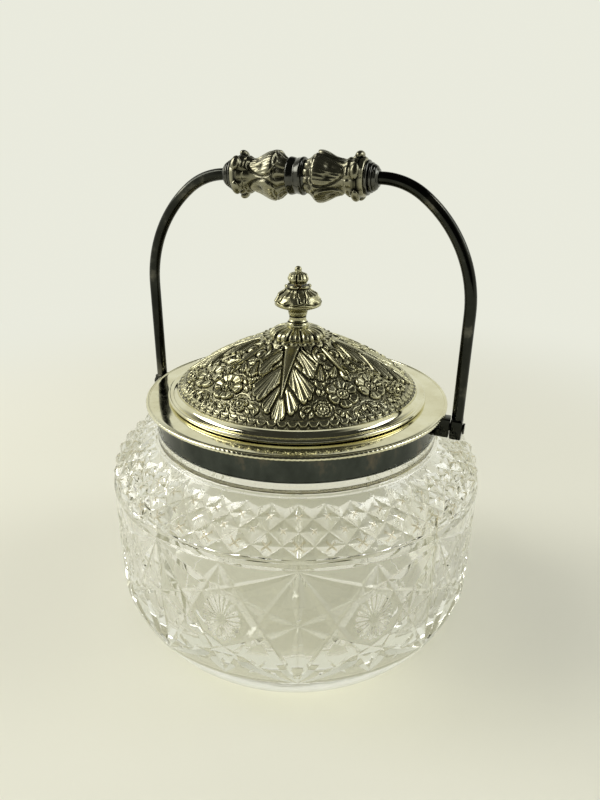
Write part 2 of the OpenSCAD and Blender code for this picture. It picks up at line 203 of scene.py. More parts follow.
class Nodes:
    """Short calls for building the nodes of a material or a world."""

    def __init__(self, owner):
        self.owner = owner if isinstance(owner, bpy.types.World) else bpy.data.materials.new(owner)
        self.owner.use_nodes = True
        self.tree = self.owner.node_tree
        self.tree.nodes.clear()
        self.coordinates = self.add("TexCoord")
        self.place = self.coordinates.outputs["Object"]

    def add(self, kind, **sockets):
        node = self.tree.nodes.new("ShaderNode" + kind)
        for key, value in sockets.items():
            self.put(node.inputs[key.replace("_", " ")], value)
        return node

    def put(self, socket, value):
        if isinstance(value, bpy.types.NodeSocket):
            self.tree.links.new(value, socket)
        else:
            socket.default_value = value

    def noise(self, scale, detail=4.0, roughness=0.5, stretch=None):
        """A noise value from 0 to 1 at a number of cells per metre."""
        vector = self.place
        if stretch:
            vector = self.add("Mapping", Vector=self.place, Scale=stretch).outputs[0]
        node = self.add("TexNoise", Vector=vector, Scale=scale, Detail=detail, Roughness=roughness)
        return node.outputs["Fac"]

    def ramp(self, value, *stops):
        """Colours or greys along a value, as (position, colour) pairs."""
        node = self.add("ValToRGB", Fac=value)
        ramp = node.color_ramp
        while len(ramp.elements) < len(stops):
            ramp.elements.new(0.5)
        for element, (position, colour) in zip(ramp.elements, stops):
            element.position = position
            element.color = (colour,) * 3 + (1,) if isinstance(colour, (int, float)) else (*colour, 1)
        return node.outputs["Color"]

    def math(self, operation, a, b, clamp=False):
        """A sum, a product or the like of two values."""
        node = self.add("Math")
        node.operation = operation
        node.use_clamp = clamp
        self.put(node.inputs[0], a)
        self.put(node.inputs[1], b)
        return node.outputs[0]

    def mix(self, factor, a, b):
        """One colour turning into another."""
        node = self.add("Mix")
        node.data_type = "RGBA"
        self.put(node.inputs["Factor"], factor)
        for socket, value in ((node.inputs["A"], a), (node.inputs["B"], b)):
            self.put(socket, (*value, 1) if isinstance(value, tuple) and len(value) == 3 else value)
        return node.outputs["Result"]

    def bump(self, height, strength, distance):
        return self.add("Bump", Strength=strength, Distance=distance, Height=height).outputs[0]

    def layer(self, name):
        """A number stored on the mesh's points."""
        node = self.add("Attribute")
        node.attribute_name = name
        return node.outputs["Fac"]

    def fade(self, value, low, high, kind="SMOOTHSTEP"):
        """0 to 1 while the value goes from low to high."""
        node = self.add("MapRange", Value=value, From_Min=low, From_Max=high)
        node.interpolation_type = kind
        return node.outputs[0]

    def either(self, factor, first, second):
        """The second shader where the factor is 1."""
        node = self.add("MixShader", Fac=factor)
        self.put(node.inputs[1], first.outputs[0])
        self.put(node.inputs[2], second.outputs[0])
        return node.outputs[0]

    def finish(self, shader, output="OutputMaterial"):
        self.add(output, Surface=shader)
        return self.owner


# Light bent more often than this in the glass goes straight on, clear of the bounce limit.
DEEPEST_BEND = 3.5


def cut_glass():
    """Clear cut crystal with a faint straw tint, with painted shade along its deep cuts and a golden-brown
    painted reflection of the gilt collar in its steep cross cuts. Lamps, and light bent many times, go
    straight through it.
    """
    n = Nodes("cut_glass")
    ripple = n.bump(n.noise(160, 2), 0.12, 0.0004)
    clear = n.mix(n.noise(30, 2), (0.993, 0.992, 0.98), (0.995, 0.997, 0.99))
    # Painted shade: the glass is tinted a little darker where it is cut deep, for the dark lines that the
    # cuts show.
    painted_cut_shade = n.mix(n.ramp(n.layer("cut"), (0.72, 0.0), (1.0, 1.0)), clear, (0.90, 0.89, 0.84))
    # Painted reflection: the bottoms of the steep cross cuts are tinted golden-brown for the gilt collar seen
    # in them, and made a little rougher.
    painted_gilt_reflection_mask = n.math("MULTIPLY", n.ramp(n.layer("stroke"), (0.1, 0.0), (0.6, 1.0)), 0.9)
    smooth = n.ramp(n.noise(420, 3), (0.35, 0.003), (0.75, 0.018))
    glass = n.add(
        "BsdfPrincipled",
        Base_Color=n.mix(painted_gilt_reflection_mask, painted_cut_shade, (0.62, 0.54, 0.36)),
        Roughness=n.math("ADD", smooth, n.math("MULTIPLY", painted_gilt_reflection_mask, 0.2)),
        IOR=1.52,
        Transmission_Weight=1.0,
        Normal=ripple,
    )
    open_to_lamps = n.add("BsdfTransparent", Color=(0.93, 0.93, 0.90, 1))
    path = n.add("LightPath")
    straight_on = n.math("MAXIMUM", path.outputs["Is Shadow Ray"],
                         n.math("GREATER_THAN", path.outputs["Ray Depth"], DEEPEST_BEND))
    return n.finish(n.either(straight_on, glass, open_to_lamps))


def polished_plate():
    """Old polished silver plate, warm where it has yellowed, with fine wiping marks."""
    n = Nodes("polished_plate")
    cloud = n.noise(55, 5, 0.55)
    colour = n.ramp(cloud, (0.3, (0.66, 0.62, 0.42)), (0.55, (0.80, 0.775, 0.58)), (0.8, (0.87, 0.86, 0.73)))
    specks = n.ramp(n.noise(900, 3), (0.66, 0.0), (0.74, 1.0))
    colour = n.mix(n.math("MULTIPLY", specks, 0.35), colour, (0.30, 0.26, 0.16))
    rough = n.ramp(n.noise(260, 4), (0.3, 0.05), (0.8, 0.16))
    shader = n.add(
        "BsdfPrincipled", Base_Color=colour, Metallic=1.0, Roughness=rough,
        Normal=n.bump(n.noise(700, 3), 0.04, 0.0001),
    )
    return n.finish(shader.outputs[0])


def relief_plate(name, light, dark, scale=1.0):
    """Cast or raised plate: bright on the high places and black with tarnish in the low ones."""
    n = Nodes(name)
    open_to = n.layer("relief")
    blotch = n.math("MULTIPLY", n.math("SUBTRACT", n.noise(260 * scale, 5), 0.5), 0.30)
    pits = n.add("TexVoronoi", Vector=n.place, Scale=1250.0).outputs["Distance"]
    stipple = n.math("MULTIPLY", n.ramp(pits, (0.15, 1.0), (0.5, 0.0)), n.layer("ground"))
    soot = n.math("SUBTRACT", n.math("ADD", open_to, blotch), n.math("MULTIPLY", stipple, 0.22))
    cover = n.ramp(soot, (0.26, 1.0), (0.37, 0.76), (0.5, 0.38), (0.8, 0.0))
    metal = n.ramp(n.noise(70 * scale, 4), (0.35, light[0]), (0.7, light[1]))
    colour = n.mix(cover, metal, dark)
    rough = n.ramp(soot, (0.15, 0.5), (0.7, 0.24))
    shader = n.add(
        "BsdfPrincipled", Base_Color=colour, Metallic=1.0, Roughness=rough,
        Normal=n.bump(n.math("ADD", n.noise(1400, 3), n.math("MULTIPLY", stipple, -1.0)), 0.3, 0.00012),
    )
    return n.finish(shader.outputs[0])


def dark_plate(name, dark, bright, stretch=(1, 1, 1)):
    """Plate gone nearly black, blotched, with some bare metal showing."""
    n = Nodes(name)
    blotch = n.noise(95, 6, 0.62, stretch)
    colour = n.ramp(blotch, (0.36, dark), (0.56, tuple(1.5 * c for c in dark)), (0.74, bright))
    rough = n.ramp(n.noise(180, 5, 0.6, stretch), (0.3, 0.09), (0.75, 0.24))
    shader = n.add(
        "BsdfPrincipled", Base_Color=colour, Metallic=1.0, Roughness=rough,
        Normal=n.bump(n.noise(600, 4), 0.06, 0.0001),
    )
    return n.finish(shader.outputs[0])


def plaster():
    """Old packing, dull and grainy. It is hidden under the collar."""
    n = Nodes("plaster")
    grain = n.noise(500, 5)
    colour = n.ramp(grain, (0.3, (0.70, 0.66, 0.56)), (0.7, (0.86, 0.84, 0.77)))
    shader = n.add("BsdfPrincipled", Base_Color=colour, Roughness=0.9, Normal=n.bump(grain, 0.4, 0.0004))
    return n.finish(shader.outputs[0])


def brass():
    """Dull brass for the fixings inside the lid."""
    n = Nodes("brass_fixing")
    colour = n.ramp(n.noise(200, 4), (0.3, (0.50, 0.36, 0.14)), (0.7, (0.80, 0.63, 0.32)))
    rough = n.ramp(n.noise(600, 4), (0.3, 0.25), (0.7, 0.42))
    shader = n.add("BsdfPrincipled", Base_Color=colour, Metallic=1.0, Roughness=rough)
    return n.finish(shader.outputs[0])


GLASS = cut_glass()
PLATE = polished_plate()
RELIEF = relief_plate("raised_plate", ((0.48, 0.455, 0.27), (0.62, 0.595, 0.40)), (0.007, 0.006, 0.004))
CAST = relief_plate("cast_plate", ((0.20, 0.19, 0.125), (0.40, 0.38, 0.27)), (0.006, 0.006, 0.004), 1.5)
BAND = dark_plate("band_tarnish", (0.040, 0.045, 0.040), (0.15, 0.125, 0.09), (1, 1, 0.7))
WIRE = dark_plate("wire_tarnish", (0.02, 0.021, 0.017), (0.13, 0.125, 0.098))
FERRULE = dark_plate("ferrule_tarnish", (0.06, 0.06, 0.052), (0.34, 0.33, 0.27))
PLASTER = plaster()
BRASS = brass()


# ---------------------------------------------------------------- cut glass

REPEATS = 9
HALF_TURN = math.radians(180 / REPEATS)
STAR_AZIMUTH = math.radians(-67.9)
FOOT_R = 63.0
BELLY_H = 26.0
BELLY_POWER = 1.45
SHOULDER_H = 75.0
SHOULDER_R = 61.6
SHOULDER_TOP = 87.3
SHOULDER_POWER = 1.8
RING_H = 72.8
RING_HALF = 0.8
RING_CUT = 1.2
FACET_SLOPE = 0.46
EDGE_COLUMNS = 40

# Start, end, half width, share of the length that tapers at each end, and slope of each cut of a star.
# Places are (degrees from the star's middle, height in mm).
CROWN, CENTRE, FOOT = (0, 70), (0, 47), (0, 18.5)
STAR_CUTS = (
    (CROWN, (20.6, 19.8), 2.1, (0.3, 0.12), FACET_SLOPE),
    ((20.4, 70.4), (-0.4, 18.6), 2.1, (0.15, 0.2), FACET_SLOPE),
    (CROWN, (40, 47), 2.0, (0.3, 0.25), FACET_SLOPE),
    (CENTRE, (40, 18.5), 1.9, (0.25, 0.3), FACET_SLOPE),
    (CENTRE, CROWN, 2.3, (0.5, 0.5), 0.66),
    (CENTRE, FOOT, 2.6, (0.5, 0.45), 0.6),
    ((2.4, 61.5), (4.6, 52), 0.5, (0.5, 0.5), FACET_SLOPE),
    ((12, 57.6), (16.2, 53.6), 0.8, (0.4, 0.4), FACET_SLOPE),
    ((7.6, 23), (13.2, 31), 0.8, (0.4, 0.4), FACET_SLOPE),
    ((7.6, 31), (13.2, 23), 0.8, (0.4, 0.4), FACET_SLOPE),
)
OUT_R = GLASS_R / MM - 0.03
REPEAT_W = 2 * HALF_TURN * OUT_R
WELD = 0.003


def glass_side(step=0.2):
    """The side of the glass from its foot to its shoulder's top: length along it, radius, height (mm)."""
    t = np.linspace(0, 1, 400) ** 2
    swell = (1 - (1 - t) ** BELLY_POWER) ** (1 / BELLY_POWER)
    belly = np.c_[FOOT_R + (OUT_R - FOOT_R) * swell, BELLY_H * t]
    t = 1 - np.linspace(1, 0, 400) ** 2
    fall = (1 - t ** SHOULDER_POWER) ** (1 / SHOULDER_POWER)
    shoulder = np.c_[SHOULDER_R + (OUT_R - SHOULDER_R) * fall, SHOULDER_H + (SHOULDER_TOP - SHOULDER_H) * t]
    line = np.concatenate([belly, shoulder])
    length = np.r_[0, np.cumsum(np.hypot(*np.diff(line, axis=0).T))]
    at = np.linspace(0, length[-1], int(length[-1] / step))
    return np.c_[at, np.interp(at, length, line[:, 0]), np.interp(at, length, line[:, 1])]


SIDE = glass_side()
SIDE_LEN = SIDE[-1, 0]


def along(z):
    """Length along the side at a height, in millimetres."""
    return float(np.interp(z, SIDE[:, 2], SIDE[:, 0]))


def on_side(degrees, z):
    """A place on the unrolled side from its angle beside a star's centre and its height."""
    return np.array([math.radians(degrees) * OUT_R, along(z)])


class Cuts:
    """Wheel cuts on the unrolled half repeat, and the lines that the mesh has to follow."""

    def __init__(self):
        self.grooves = []
        self.lines = []
        self.fields = []

    def groove(self, start, end, half_width, taper=(0.35, 0.35), slope=FACET_SLOPE, steps=5):
        """A straight V cut that narrows to a point over the given share of its length at each end."""
        start, end = np.asarray(start, float), np.asarray(end, float)
        if any(np.allclose(start, g[0]) and np.allclose(end, g[1]) for g in self.grooves):
            return
        t = np.unique(np.r_[0, np.linspace(0, taper[0], steps), np.linspace(1 - taper[1], 1, steps), 1])
        rise = t / taper[0] if taper[0] else np.ones_like(t)
        fall = (1 - t) / taper[1] if taper[1] else np.ones_like(t)
        width = half_width * unit(np.minimum(rise, fall)) ** 0.7
        ahead = (end - start) / np.linalg.norm(end - start)
        side = np.array([-ahead[1], ahead[0]])
        middle = start + np.outer(t, end - start)
        self.grooves.append((start, end, t, width * slope, slope))
        for s in (-1, 0, 1):
            points = middle + s * width[:, None] * side
            self.lines += list(zip(points[:-1], points[1:]))

    def each_side(self, start, end, *rest, **more):
        """The same cut in this half repeat and as its mirror images cross into it."""
        for shift in (-REPEAT_W, 0, REPEAT_W):
            for flip in (1, -1):
                places = [np.array([flip * p[0] + shift, p[1]]) for p in (start, end)]
                xs = [p[0] for p in places]
                if max(xs) > -4 and min(xs) < REPEAT_W / 2 + 4:
                    self.groove(*places, *rest, **more)

    def mitres(self):
        """Lines from where two cuts cross to the corners between them, so that the facets meet on an edge."""
        for i, (a0, a1, ta, da, sa) in enumerate(self.grooves):
            for b0, b1, tb, db, sb in self.grooves[:i]:
                u, v = a1 - a0, b1 - b0
                spread = u[0] * v[1] - u[1] * v[0]
                lu, lv = np.linalg.norm(u), np.linalg.norm(v)
                if abs(spread) < 0.15 * lu * lv:
                    continue
                gap = b0 - a0
                p = (gap[0] * v[1] - gap[1] * v[0]) / spread
                q = (gap[0] * u[1] - gap[1] * u[0]) / spread
                if not (0.02 < p < 0.98 and 0.02 < q < 0.98):
                    continue
                wa, wb = np.interp(p, ta, da) / sa, np.interp(q, tb, db) / sb
                across = np.array([[-u[1] / lu, u[0] / lu], [-v[1] / lv, v[0] / lv]])
                here = a0 + p * u
                for ga in (-1, 1):
                    for gb in (-1, 1):
                        corner = np.linalg.solve(across, [ga * wa, gb * wb])
                        if np.linalg.norm(corner) < 8:
                            self.lines.append((here, here + corner))

    def depth(self, points):
        """How deep each point is cut, and how near it is to the bottom of a steep stroke, from 0 to 1."""
        deepest, strokes = np.zeros(len(points)), np.zeros(len(points))
        for start, end, t, deep, slope in self.grooves:
            line = end - start
            length = np.linalg.norm(line)
            rel = points - start
            share = rel @ line / length ** 2
            off = np.abs(rel[:, 0] * line[1] - rel[:, 1] * line[0]) / length
            here = np.interp(share, t, deep) - slope * off
            here[(share < 0) | (share > 1)] = 0
            deepest = np.maximum(deepest, here)
            if slope > 1:
                strokes = np.maximum(strokes, unit(here / deep.max()))
        for field in self.fields:
            deepest = np.maximum(deepest, field(points))
        return deepest, strokes


def star_panel(cuts):
    """Six-armed stars, and daisies in six-sided frames between them."""
    for start, end, half_width, taper, slope in STAR_CUTS:
        cuts.each_side(on_side(*start), on_side(*end), half_width, taper, slope=slope)
    for degrees, z, root in ((18.2, 62.6, 69.4), (20, 60.8, 69.4), (18.4, 28.4, 22), (20, 30.2, 22)):
        cuts.each_side(on_side(18 + 0.1 * degrees, root), on_side(degrees, z), 0.55, (0.9, 0.1))


def daisy(cuts, petals=20, wide=7.6, above=11.0, below=9.6, heart=0.2):
    """Petals fanned round the middle of each frame, longer upwards than sideways."""
    middle = on_side(20, 46)
    for i in range(petals):
        a = TAU * (i + 0.5) / petals
        way = np.array([wide * math.cos(a), (above if math.sin(a) > 0 else below) * math.sin(a)])
        if middle[0] + min(way[0], 0) < REPEAT_W / 2 - WELD and way[0] < 1:
            cuts.groove(middle + heart * way, middle + way, 1.05, (0.85, 0.15), slope=0.8, steps=3)


def plain_ring(cuts):
    """The smooth sunk ring between the panels and the band."""
    middle = along(RING_H)
    for off in (-RING_HALF - RING_CUT, -RING_HALF, RING_HALF, RING_HALF + RING_CUT):
        cuts.lines.append((np.array([0, middle + off]), np.array([REPEAT_W / 2, middle + off])))
    cuts.fields.append(
        lambda p: RING_CUT - np.clip(np.abs(p[:, 1] - middle) - RING_HALF, 0, None)
    )


DIAMONDS, DIAMOND_ROWS, DIAMOND_SLOPE = 5, 4, 0.40
DIAMOND_LOW, DIAMOND_HIGH = along(73.9), along(86.95)
PITCH = REPEAT_W / DIAMONDS
RISE = (DIAMOND_HIGH - DIAMOND_LOW) / DIAMOND_ROWS
DIAMOND_EDGE = math.hypot(PITCH / 2, RISE)
DIAMOND_HALF = PITCH * RISE / DIAMOND_EDGE / 2
FADE_LOW, FADE_HIGH = DIAMOND_LOW + 3.35 * RISE, DIAMOND_LOW + 4.15 * RISE
CROSS_DEEP, CROSS_SLOPE = 0.85, 1.5


def diamond_faces(p):
    """How deep the faces of the diamonds are. The topmost ones fade out into the shoulder."""
    x, s = p[:, 0], p[:, 1]
    strength = unit((FADE_HIGH - s) / (FADE_HIGH - FADE_LOW))
    deepest = np.zeros(len(p))
    for way in (-1, 1):
        u = (x - way * (s - DIAMOND_LOW) * PITCH / 2 / RISE) / PITCH
        off = np.abs(u - np.round(u)) * PITCH * RISE / DIAMOND_EDGE
        deepest = np.maximum(deepest, DIAMOND_SLOPE * (DIAMOND_HALF * strength - off))
    deepest[(s < DIAMOND_LOW) | (s > FADE_HIGH)] = 0
    return deepest


def diamond_lines(cuts):
    """The diamonds' edges, and the lines through their points."""
    spread = DIAMOND_HALF * DIAMOND_EDGE / RISE
    for k in range(-DIAMOND_ROWS, DIAMONDS + DIAMOND_ROWS):
        for way in (-1, 1):
            def at(s, off=0.0, x=PITCH * k, way=way):
                return np.array([x + way * PITCH / 2 * (s - DIAMOND_LOW) / RISE + off, s])

            cuts.lines.append((at(DIAMOND_LOW), at(FADE_HIGH)))
            for g in (-1, 1):
                cuts.lines.append((at(FADE_LOW, g * spread), at(FADE_HIGH)))
    for row in range(DIAMOND_ROWS):
        s = DIAMOND_LOW + row * RISE
        cuts.lines.append((np.array([0, s]), np.array([REPEAT_W / 2, s])))
    for k in range(DIAMONDS + 1):
        x = PITCH / 2 * k
        cuts.lines.append((np.array([x, DIAMOND_LOW]), np.array([x, DIAMOND_HIGH])))


def diamond_cross(cuts, middle):
    """A small steep cross through a diamond's point, and the lines where it meets the diamond's faces."""
    arm = CROSS_DEEP / DIAMOND_SLOPE
    corner = CROSS_DEEP / (DIAMOND_SLOPE + CROSS_SLOPE)
    ways = [np.array([w * PITCH / 2, RISE]) / DIAMOND_EDGE for w in (-1, 1)]
    for w in ways:
        start, end = middle - arm * w, middle + arm * w
        cuts.groove(start, end, CROSS_DEEP / CROSS_SLOPE, (0, 0), CROSS_SLOPE, steps=2)
    for i, tip in enumerate(middle + g * arm * w for g in (1, -1) for w in ways):
        cuts.lines.append((middle, tip))
        for g in (-1, 1):
            inner = middle + (tip - middle) / arm * corner + g * corner * ways[1 - i % 2]
            cuts.lines += [(tip, inner), (middle, inner)]


def diamond_band(cuts):
    """Pointed diamonds round the shoulder, each with a small cross cut into its point."""
    cuts.fields.append(diamond_faces)
    diamond_lines(cuts)
    for row in range(1, DIAMOND_ROWS):
        for k in range(-1, DIAMONDS):
            middle = np.array([PITCH * (k + (0 if row % 2 else 0.5)), DIAMOND_LOW + RISE * row])
            if -PITCH / 2 < middle[0] < REPEAT_W / 2 + PITCH / 2:
                diamond_cross(cuts, middle)


def clip_line(a, b, width, length):
    """The part of a line inside the unrolled half repeat, or None."""
    t0, t1 = 0.0, 1.0
    for k, limit in ((0, width), (1, length)):
        move = b[k] - a[k]
        if abs(move) < 1e-9:
            if a[k] < 0 or a[k] > limit:
                return None
            continue
        near, far = sorted(((0 - a[k]) / move, (limit - a[k]) / move))
        t0, t1 = max(t0, near), min(t1, far)
    return (a + t0 * (b - a), a + t1 * (b - a)) if t1 - t0 > 1e-6 else None


def half_repeat_mesh(cuts, cell=2.0):
    """Triangles of the unrolled half repeat that follow every cut's edges."""
    width = REPEAT_W / 2
    margin = 0.4
    rows = np.linspace(0, SIDE_LEN, int(SIDE_LEN / cell) + 1)
    points, edges = [], []

    def chain(line):
        first = len(points)
        points.extend(line)
        edges.extend((first + i, first + i + 1) for i in range(len(line) - 1))

    border = np.linspace(0, width, EDGE_COLUMNS + 1)
    chain([(x, 0.0) for x in border])
    chain([(x, SIDE_LEN) for x in border])
    chain([(0.0, s) for s in rows])
    chain([(width, s) for s in rows])
    for i, s in enumerate(rows[1:-1]):
        shift = 0.5 if i % 2 else 0.0
        across = (np.arange(int(width / cell)) + 0.5 + shift) * cell
        points.extend((x, s) for x in across if x < width - margin)
    for a, b in cuts.lines:
        part = clip_line(a, b, width, SIDE_LEN)
        if part:
            chain([tuple(part[0]), tuple(part[1])])
    flat, _, faces, *_ = geometry.delaunay_2d_cdt([Vector(p) for p in points], edges, [], 0, 0.004)
    flat = np.array([tuple(v) for v in flat])
    flat[:, 0] = np.clip(flat[:, 0], 0, width)
    flat[:, 1] = np.clip(flat[:, 1], 0, SIDE_LEN)
    return flat, np.array(faces)


def sunk_side(length, deep):
    """Radius and height at lengths along the side, sunk square to it by a depth (mm)."""
    dr, dz = (np.gradient(SIDE[:, k], SIDE[:, 0]) for k in (1, 2))
    r, z, out_r, out_z = (np.interp(length, SIDE[:, 0], v) for v in (SIDE[:, 1], SIDE[:, 2], dz, -dr))
    return r - deep * out_r, z - deep * out_z


def cut_side():
    """The whole cut side: its points, its faces, and each point's depth and any stroke through it."""
    cuts = Cuts()
    star_panel(cuts)
    cuts.mitres()
    daisy(cuts)
    plain_ring(cuts)
    diamond_band(cuts)
    flat, faces = half_repeat_mesh(cuts)
    deep, strokes = cuts.depth(flat)
    deep *= unit(np.minimum(flat[:, 1], SIDE_LEN - flat[:, 1]))
    r, z = sunk_side(flat[:, 1], deep)
    angle = flat[:, 0] / OUT_R
    verts, all_faces = [], []
    for k in range(REPEATS):
        for flip in (1, -1):
            a = STAR_AZIMUTH + k * 2 * HALF_TURN + flip * angle
            first = sum(len(v) for v in verts)
            verts.append(ring(r, z, a))
            all_faces.append(faces[:, ::flip] + first)
    lines = unit(deep / 0.9)
    return np.concatenate(verts), np.concatenate(all_faces), np.tile([lines, strokes], 2 * REPEATS)


def glass_rest():
    """The outline beyond the cut side, from the shoulder on: neck, inside, floor and underside (mm)."""
    neck_r = BAND_R / MM - 0.3
    band_low = BAND_BASE / MM
    inside_r, inside_top, floor_z, hollow_z = 51.1, 86.3, 12.0, 1.2
    cavity_r, cavity_low_r, cavity_wide_z, cavity_bend_z = 73.5, 54.0, 69, 34
    outline = arc(SHOULDER_R - 0.9, SHOULDER_TOP - 0.5, 1.0, 40, 90, 4)
    outline += arc(neck_r + 1.0, SHOULDER_TOP + 1.5, 1.0, 270, 180, 5)
    outline += [(neck_r, band_low - 2.0), (neck_r, band_low), (56.4, band_low)]
    outline += [(56.4, 102.4), (inside_r, 102.4)]
    t = np.linspace(1, 0, 22)
    drop = (1 - t ** 1.6) ** (1 / 1.6)
    upper_r = inside_r + (cavity_r - inside_r) * drop
    outline += list(zip(upper_r, cavity_wide_z + (inside_top - cavity_wide_z) * t))
    t = np.linspace(1, 0, 26) ** 2
    swell = (1 - (1 - t) ** 1.8) ** (1 / 1.8)
    low_r = cavity_low_r + (cavity_r - cavity_low_r) * swell
    outline += list(zip(low_r, floor_z + (cavity_bend_z - floor_z) * t))[1:]
    outline += [(40, floor_z), (20, floor_z), (0, floor_z), (0, hollow_z), (20, hollow_z), (40, hollow_z)]
    outline += [(52.8, hollow_z), (54, 0.0), (FOOT_R - 4, 0.0)]
    return outline


def turned_rows(outline, angle, first):
    """Points and faces of a turned outline. Points are numbered from the first, and one is at the axis."""
    cols = len(angle)
    verts, faces, starts = [], [], []
    for r, z in outline:
        verts.append(np.array([[0, 0, z]]) if r < 1e-6 else ring(r, z, angle))
        starts.append((first, len(verts[-1])))
        first += len(verts[-1])
    for (a, na), (b, nb) in zip(starts[:-1], starts[1:]):
        if na == nb == 1:
            continue
        for j in range(cols):
            k = (j + 1) % cols
            if nb == 1:
                faces.append((a + j, a + k, b))
            elif na == 1:
                faces.append((a, b + k, b + j))
            else:
                faces.append((a + j, a + k, b + k, b + j))
    return verts, faces


def make_glass():
    """The whole glass as one closed mesh: the cut side, and the turned rest joined to its edges."""
    side, side_faces, marks = cut_side()
    cols = 2 * REPEATS * EDGE_COLUMNS
    angle = STAR_AZIMUTH + np.arange(cols) * TAU / cols
    outline = [tuple(SIDE[-1, 1:])] + glass_rest() + [tuple(SIDE[0, 1:])]
    rest, rest_faces = turned_rows(outline, angle, len(side))
    verts = np.concatenate([side] + rest) * MM
    faces = [tuple(f) for f in side_faces] + rest_faces
    glass = link_mesh("cut_glass_body", verts, faces, "jar", GLASS)
    total = len(glass.data.vertices)
    for layer, values in zip(("cut", "stroke"), marks):
        paint(glass, layer, np.r_[values, np.zeros(total - len(values))])
    weld(glass, WELD * MM)
    glass.data.set_sharp_from_angle(angle=math.radians(13))
    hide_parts("glass_jar")


# ---------------------------------------------------------------- raised work on the lid

DOME_R = 50.3
DOME_EDGE = 109.4
DOME_RISE = 18.8
DOME_POWER = 1.7
DOME_FLAT_R = 15.0
DOME_THICK = 1.0
UNDERSIDE_DROP = 0.85
STUD_HOLE_R = 4.0
LEAF_AZIMUTH = -77.2
RELIEF_DEEP = 1.5
SCALLOPS = 80
GROUND = 0.32


def dome_height(r):
    fall = 1 - (DOME_FLAT_R / DOME_R) ** DOME_POWER
    return DOME_EDGE + DOME_RISE * (1 - (r / DOME_R) ** DOME_POWER) / fall


def smooth_path(places, rounds=2):
    """Cuts the corners of a path of points."""
    line = np.asarray(places, float)
    for _ in range(rounds):
        if len(line) < 3:
            break
        a, b = line[:-1], line[1:]
        inner = np.stack([0.75 * a + 0.25 * b, 0.25 * a + 0.75 * b], 1).reshape(-1, line.shape[1])
        line = np.concatenate([line[:1], inner[1:-1], line[-1:]])
    return line


def rounded(inside, reach):
    """0 at an edge, rising like a quarter round to 1 at the reach."""
    return bowl(unit(1 - inside / reach))


def nearest_on_path(px, py, width, x, y):
    """Each place's nearest spot on a path with a half width at each of its points.

    Gives the distance as a share of the half width there, the distance in mm with its side as the sign,
    the spot's share of the path's length, and the half width.
    """
    span = np.r_[0, np.cumsum(np.hypot(np.diff(px), np.diff(py)))]
    best = np.full(len(x), 1e9)
    offset, share, wide = np.zeros(len(x)), np.zeros(len(x)), np.ones(len(x))
    for i in range(len(px) - 1):
        ux, uy = px[i + 1] - px[i], py[i + 1] - py[i]
        length = math.hypot(ux, uy)
        if length < 1e-6:
            continue
        t = unit(((x - px[i]) * ux + (y - py[i]) * uy) / length ** 2)
        gap = np.hypot(x - px[i] - t * ux, y - py[i] - t * uy)
        side = np.sign((x - px[i]) * uy - (y - py[i]) * ux)
        w = np.maximum(width[i] + t * (width[i + 1] - width[i]), 0.05)
        take = gap / w < best
        best[take] = (gap / w)[take]
        offset[take], wide[take] = (side * gap)[take], w[take]
        share[take] = ((span[i] + t * length) / span[-1])[take]
    return best, offset, share, wide


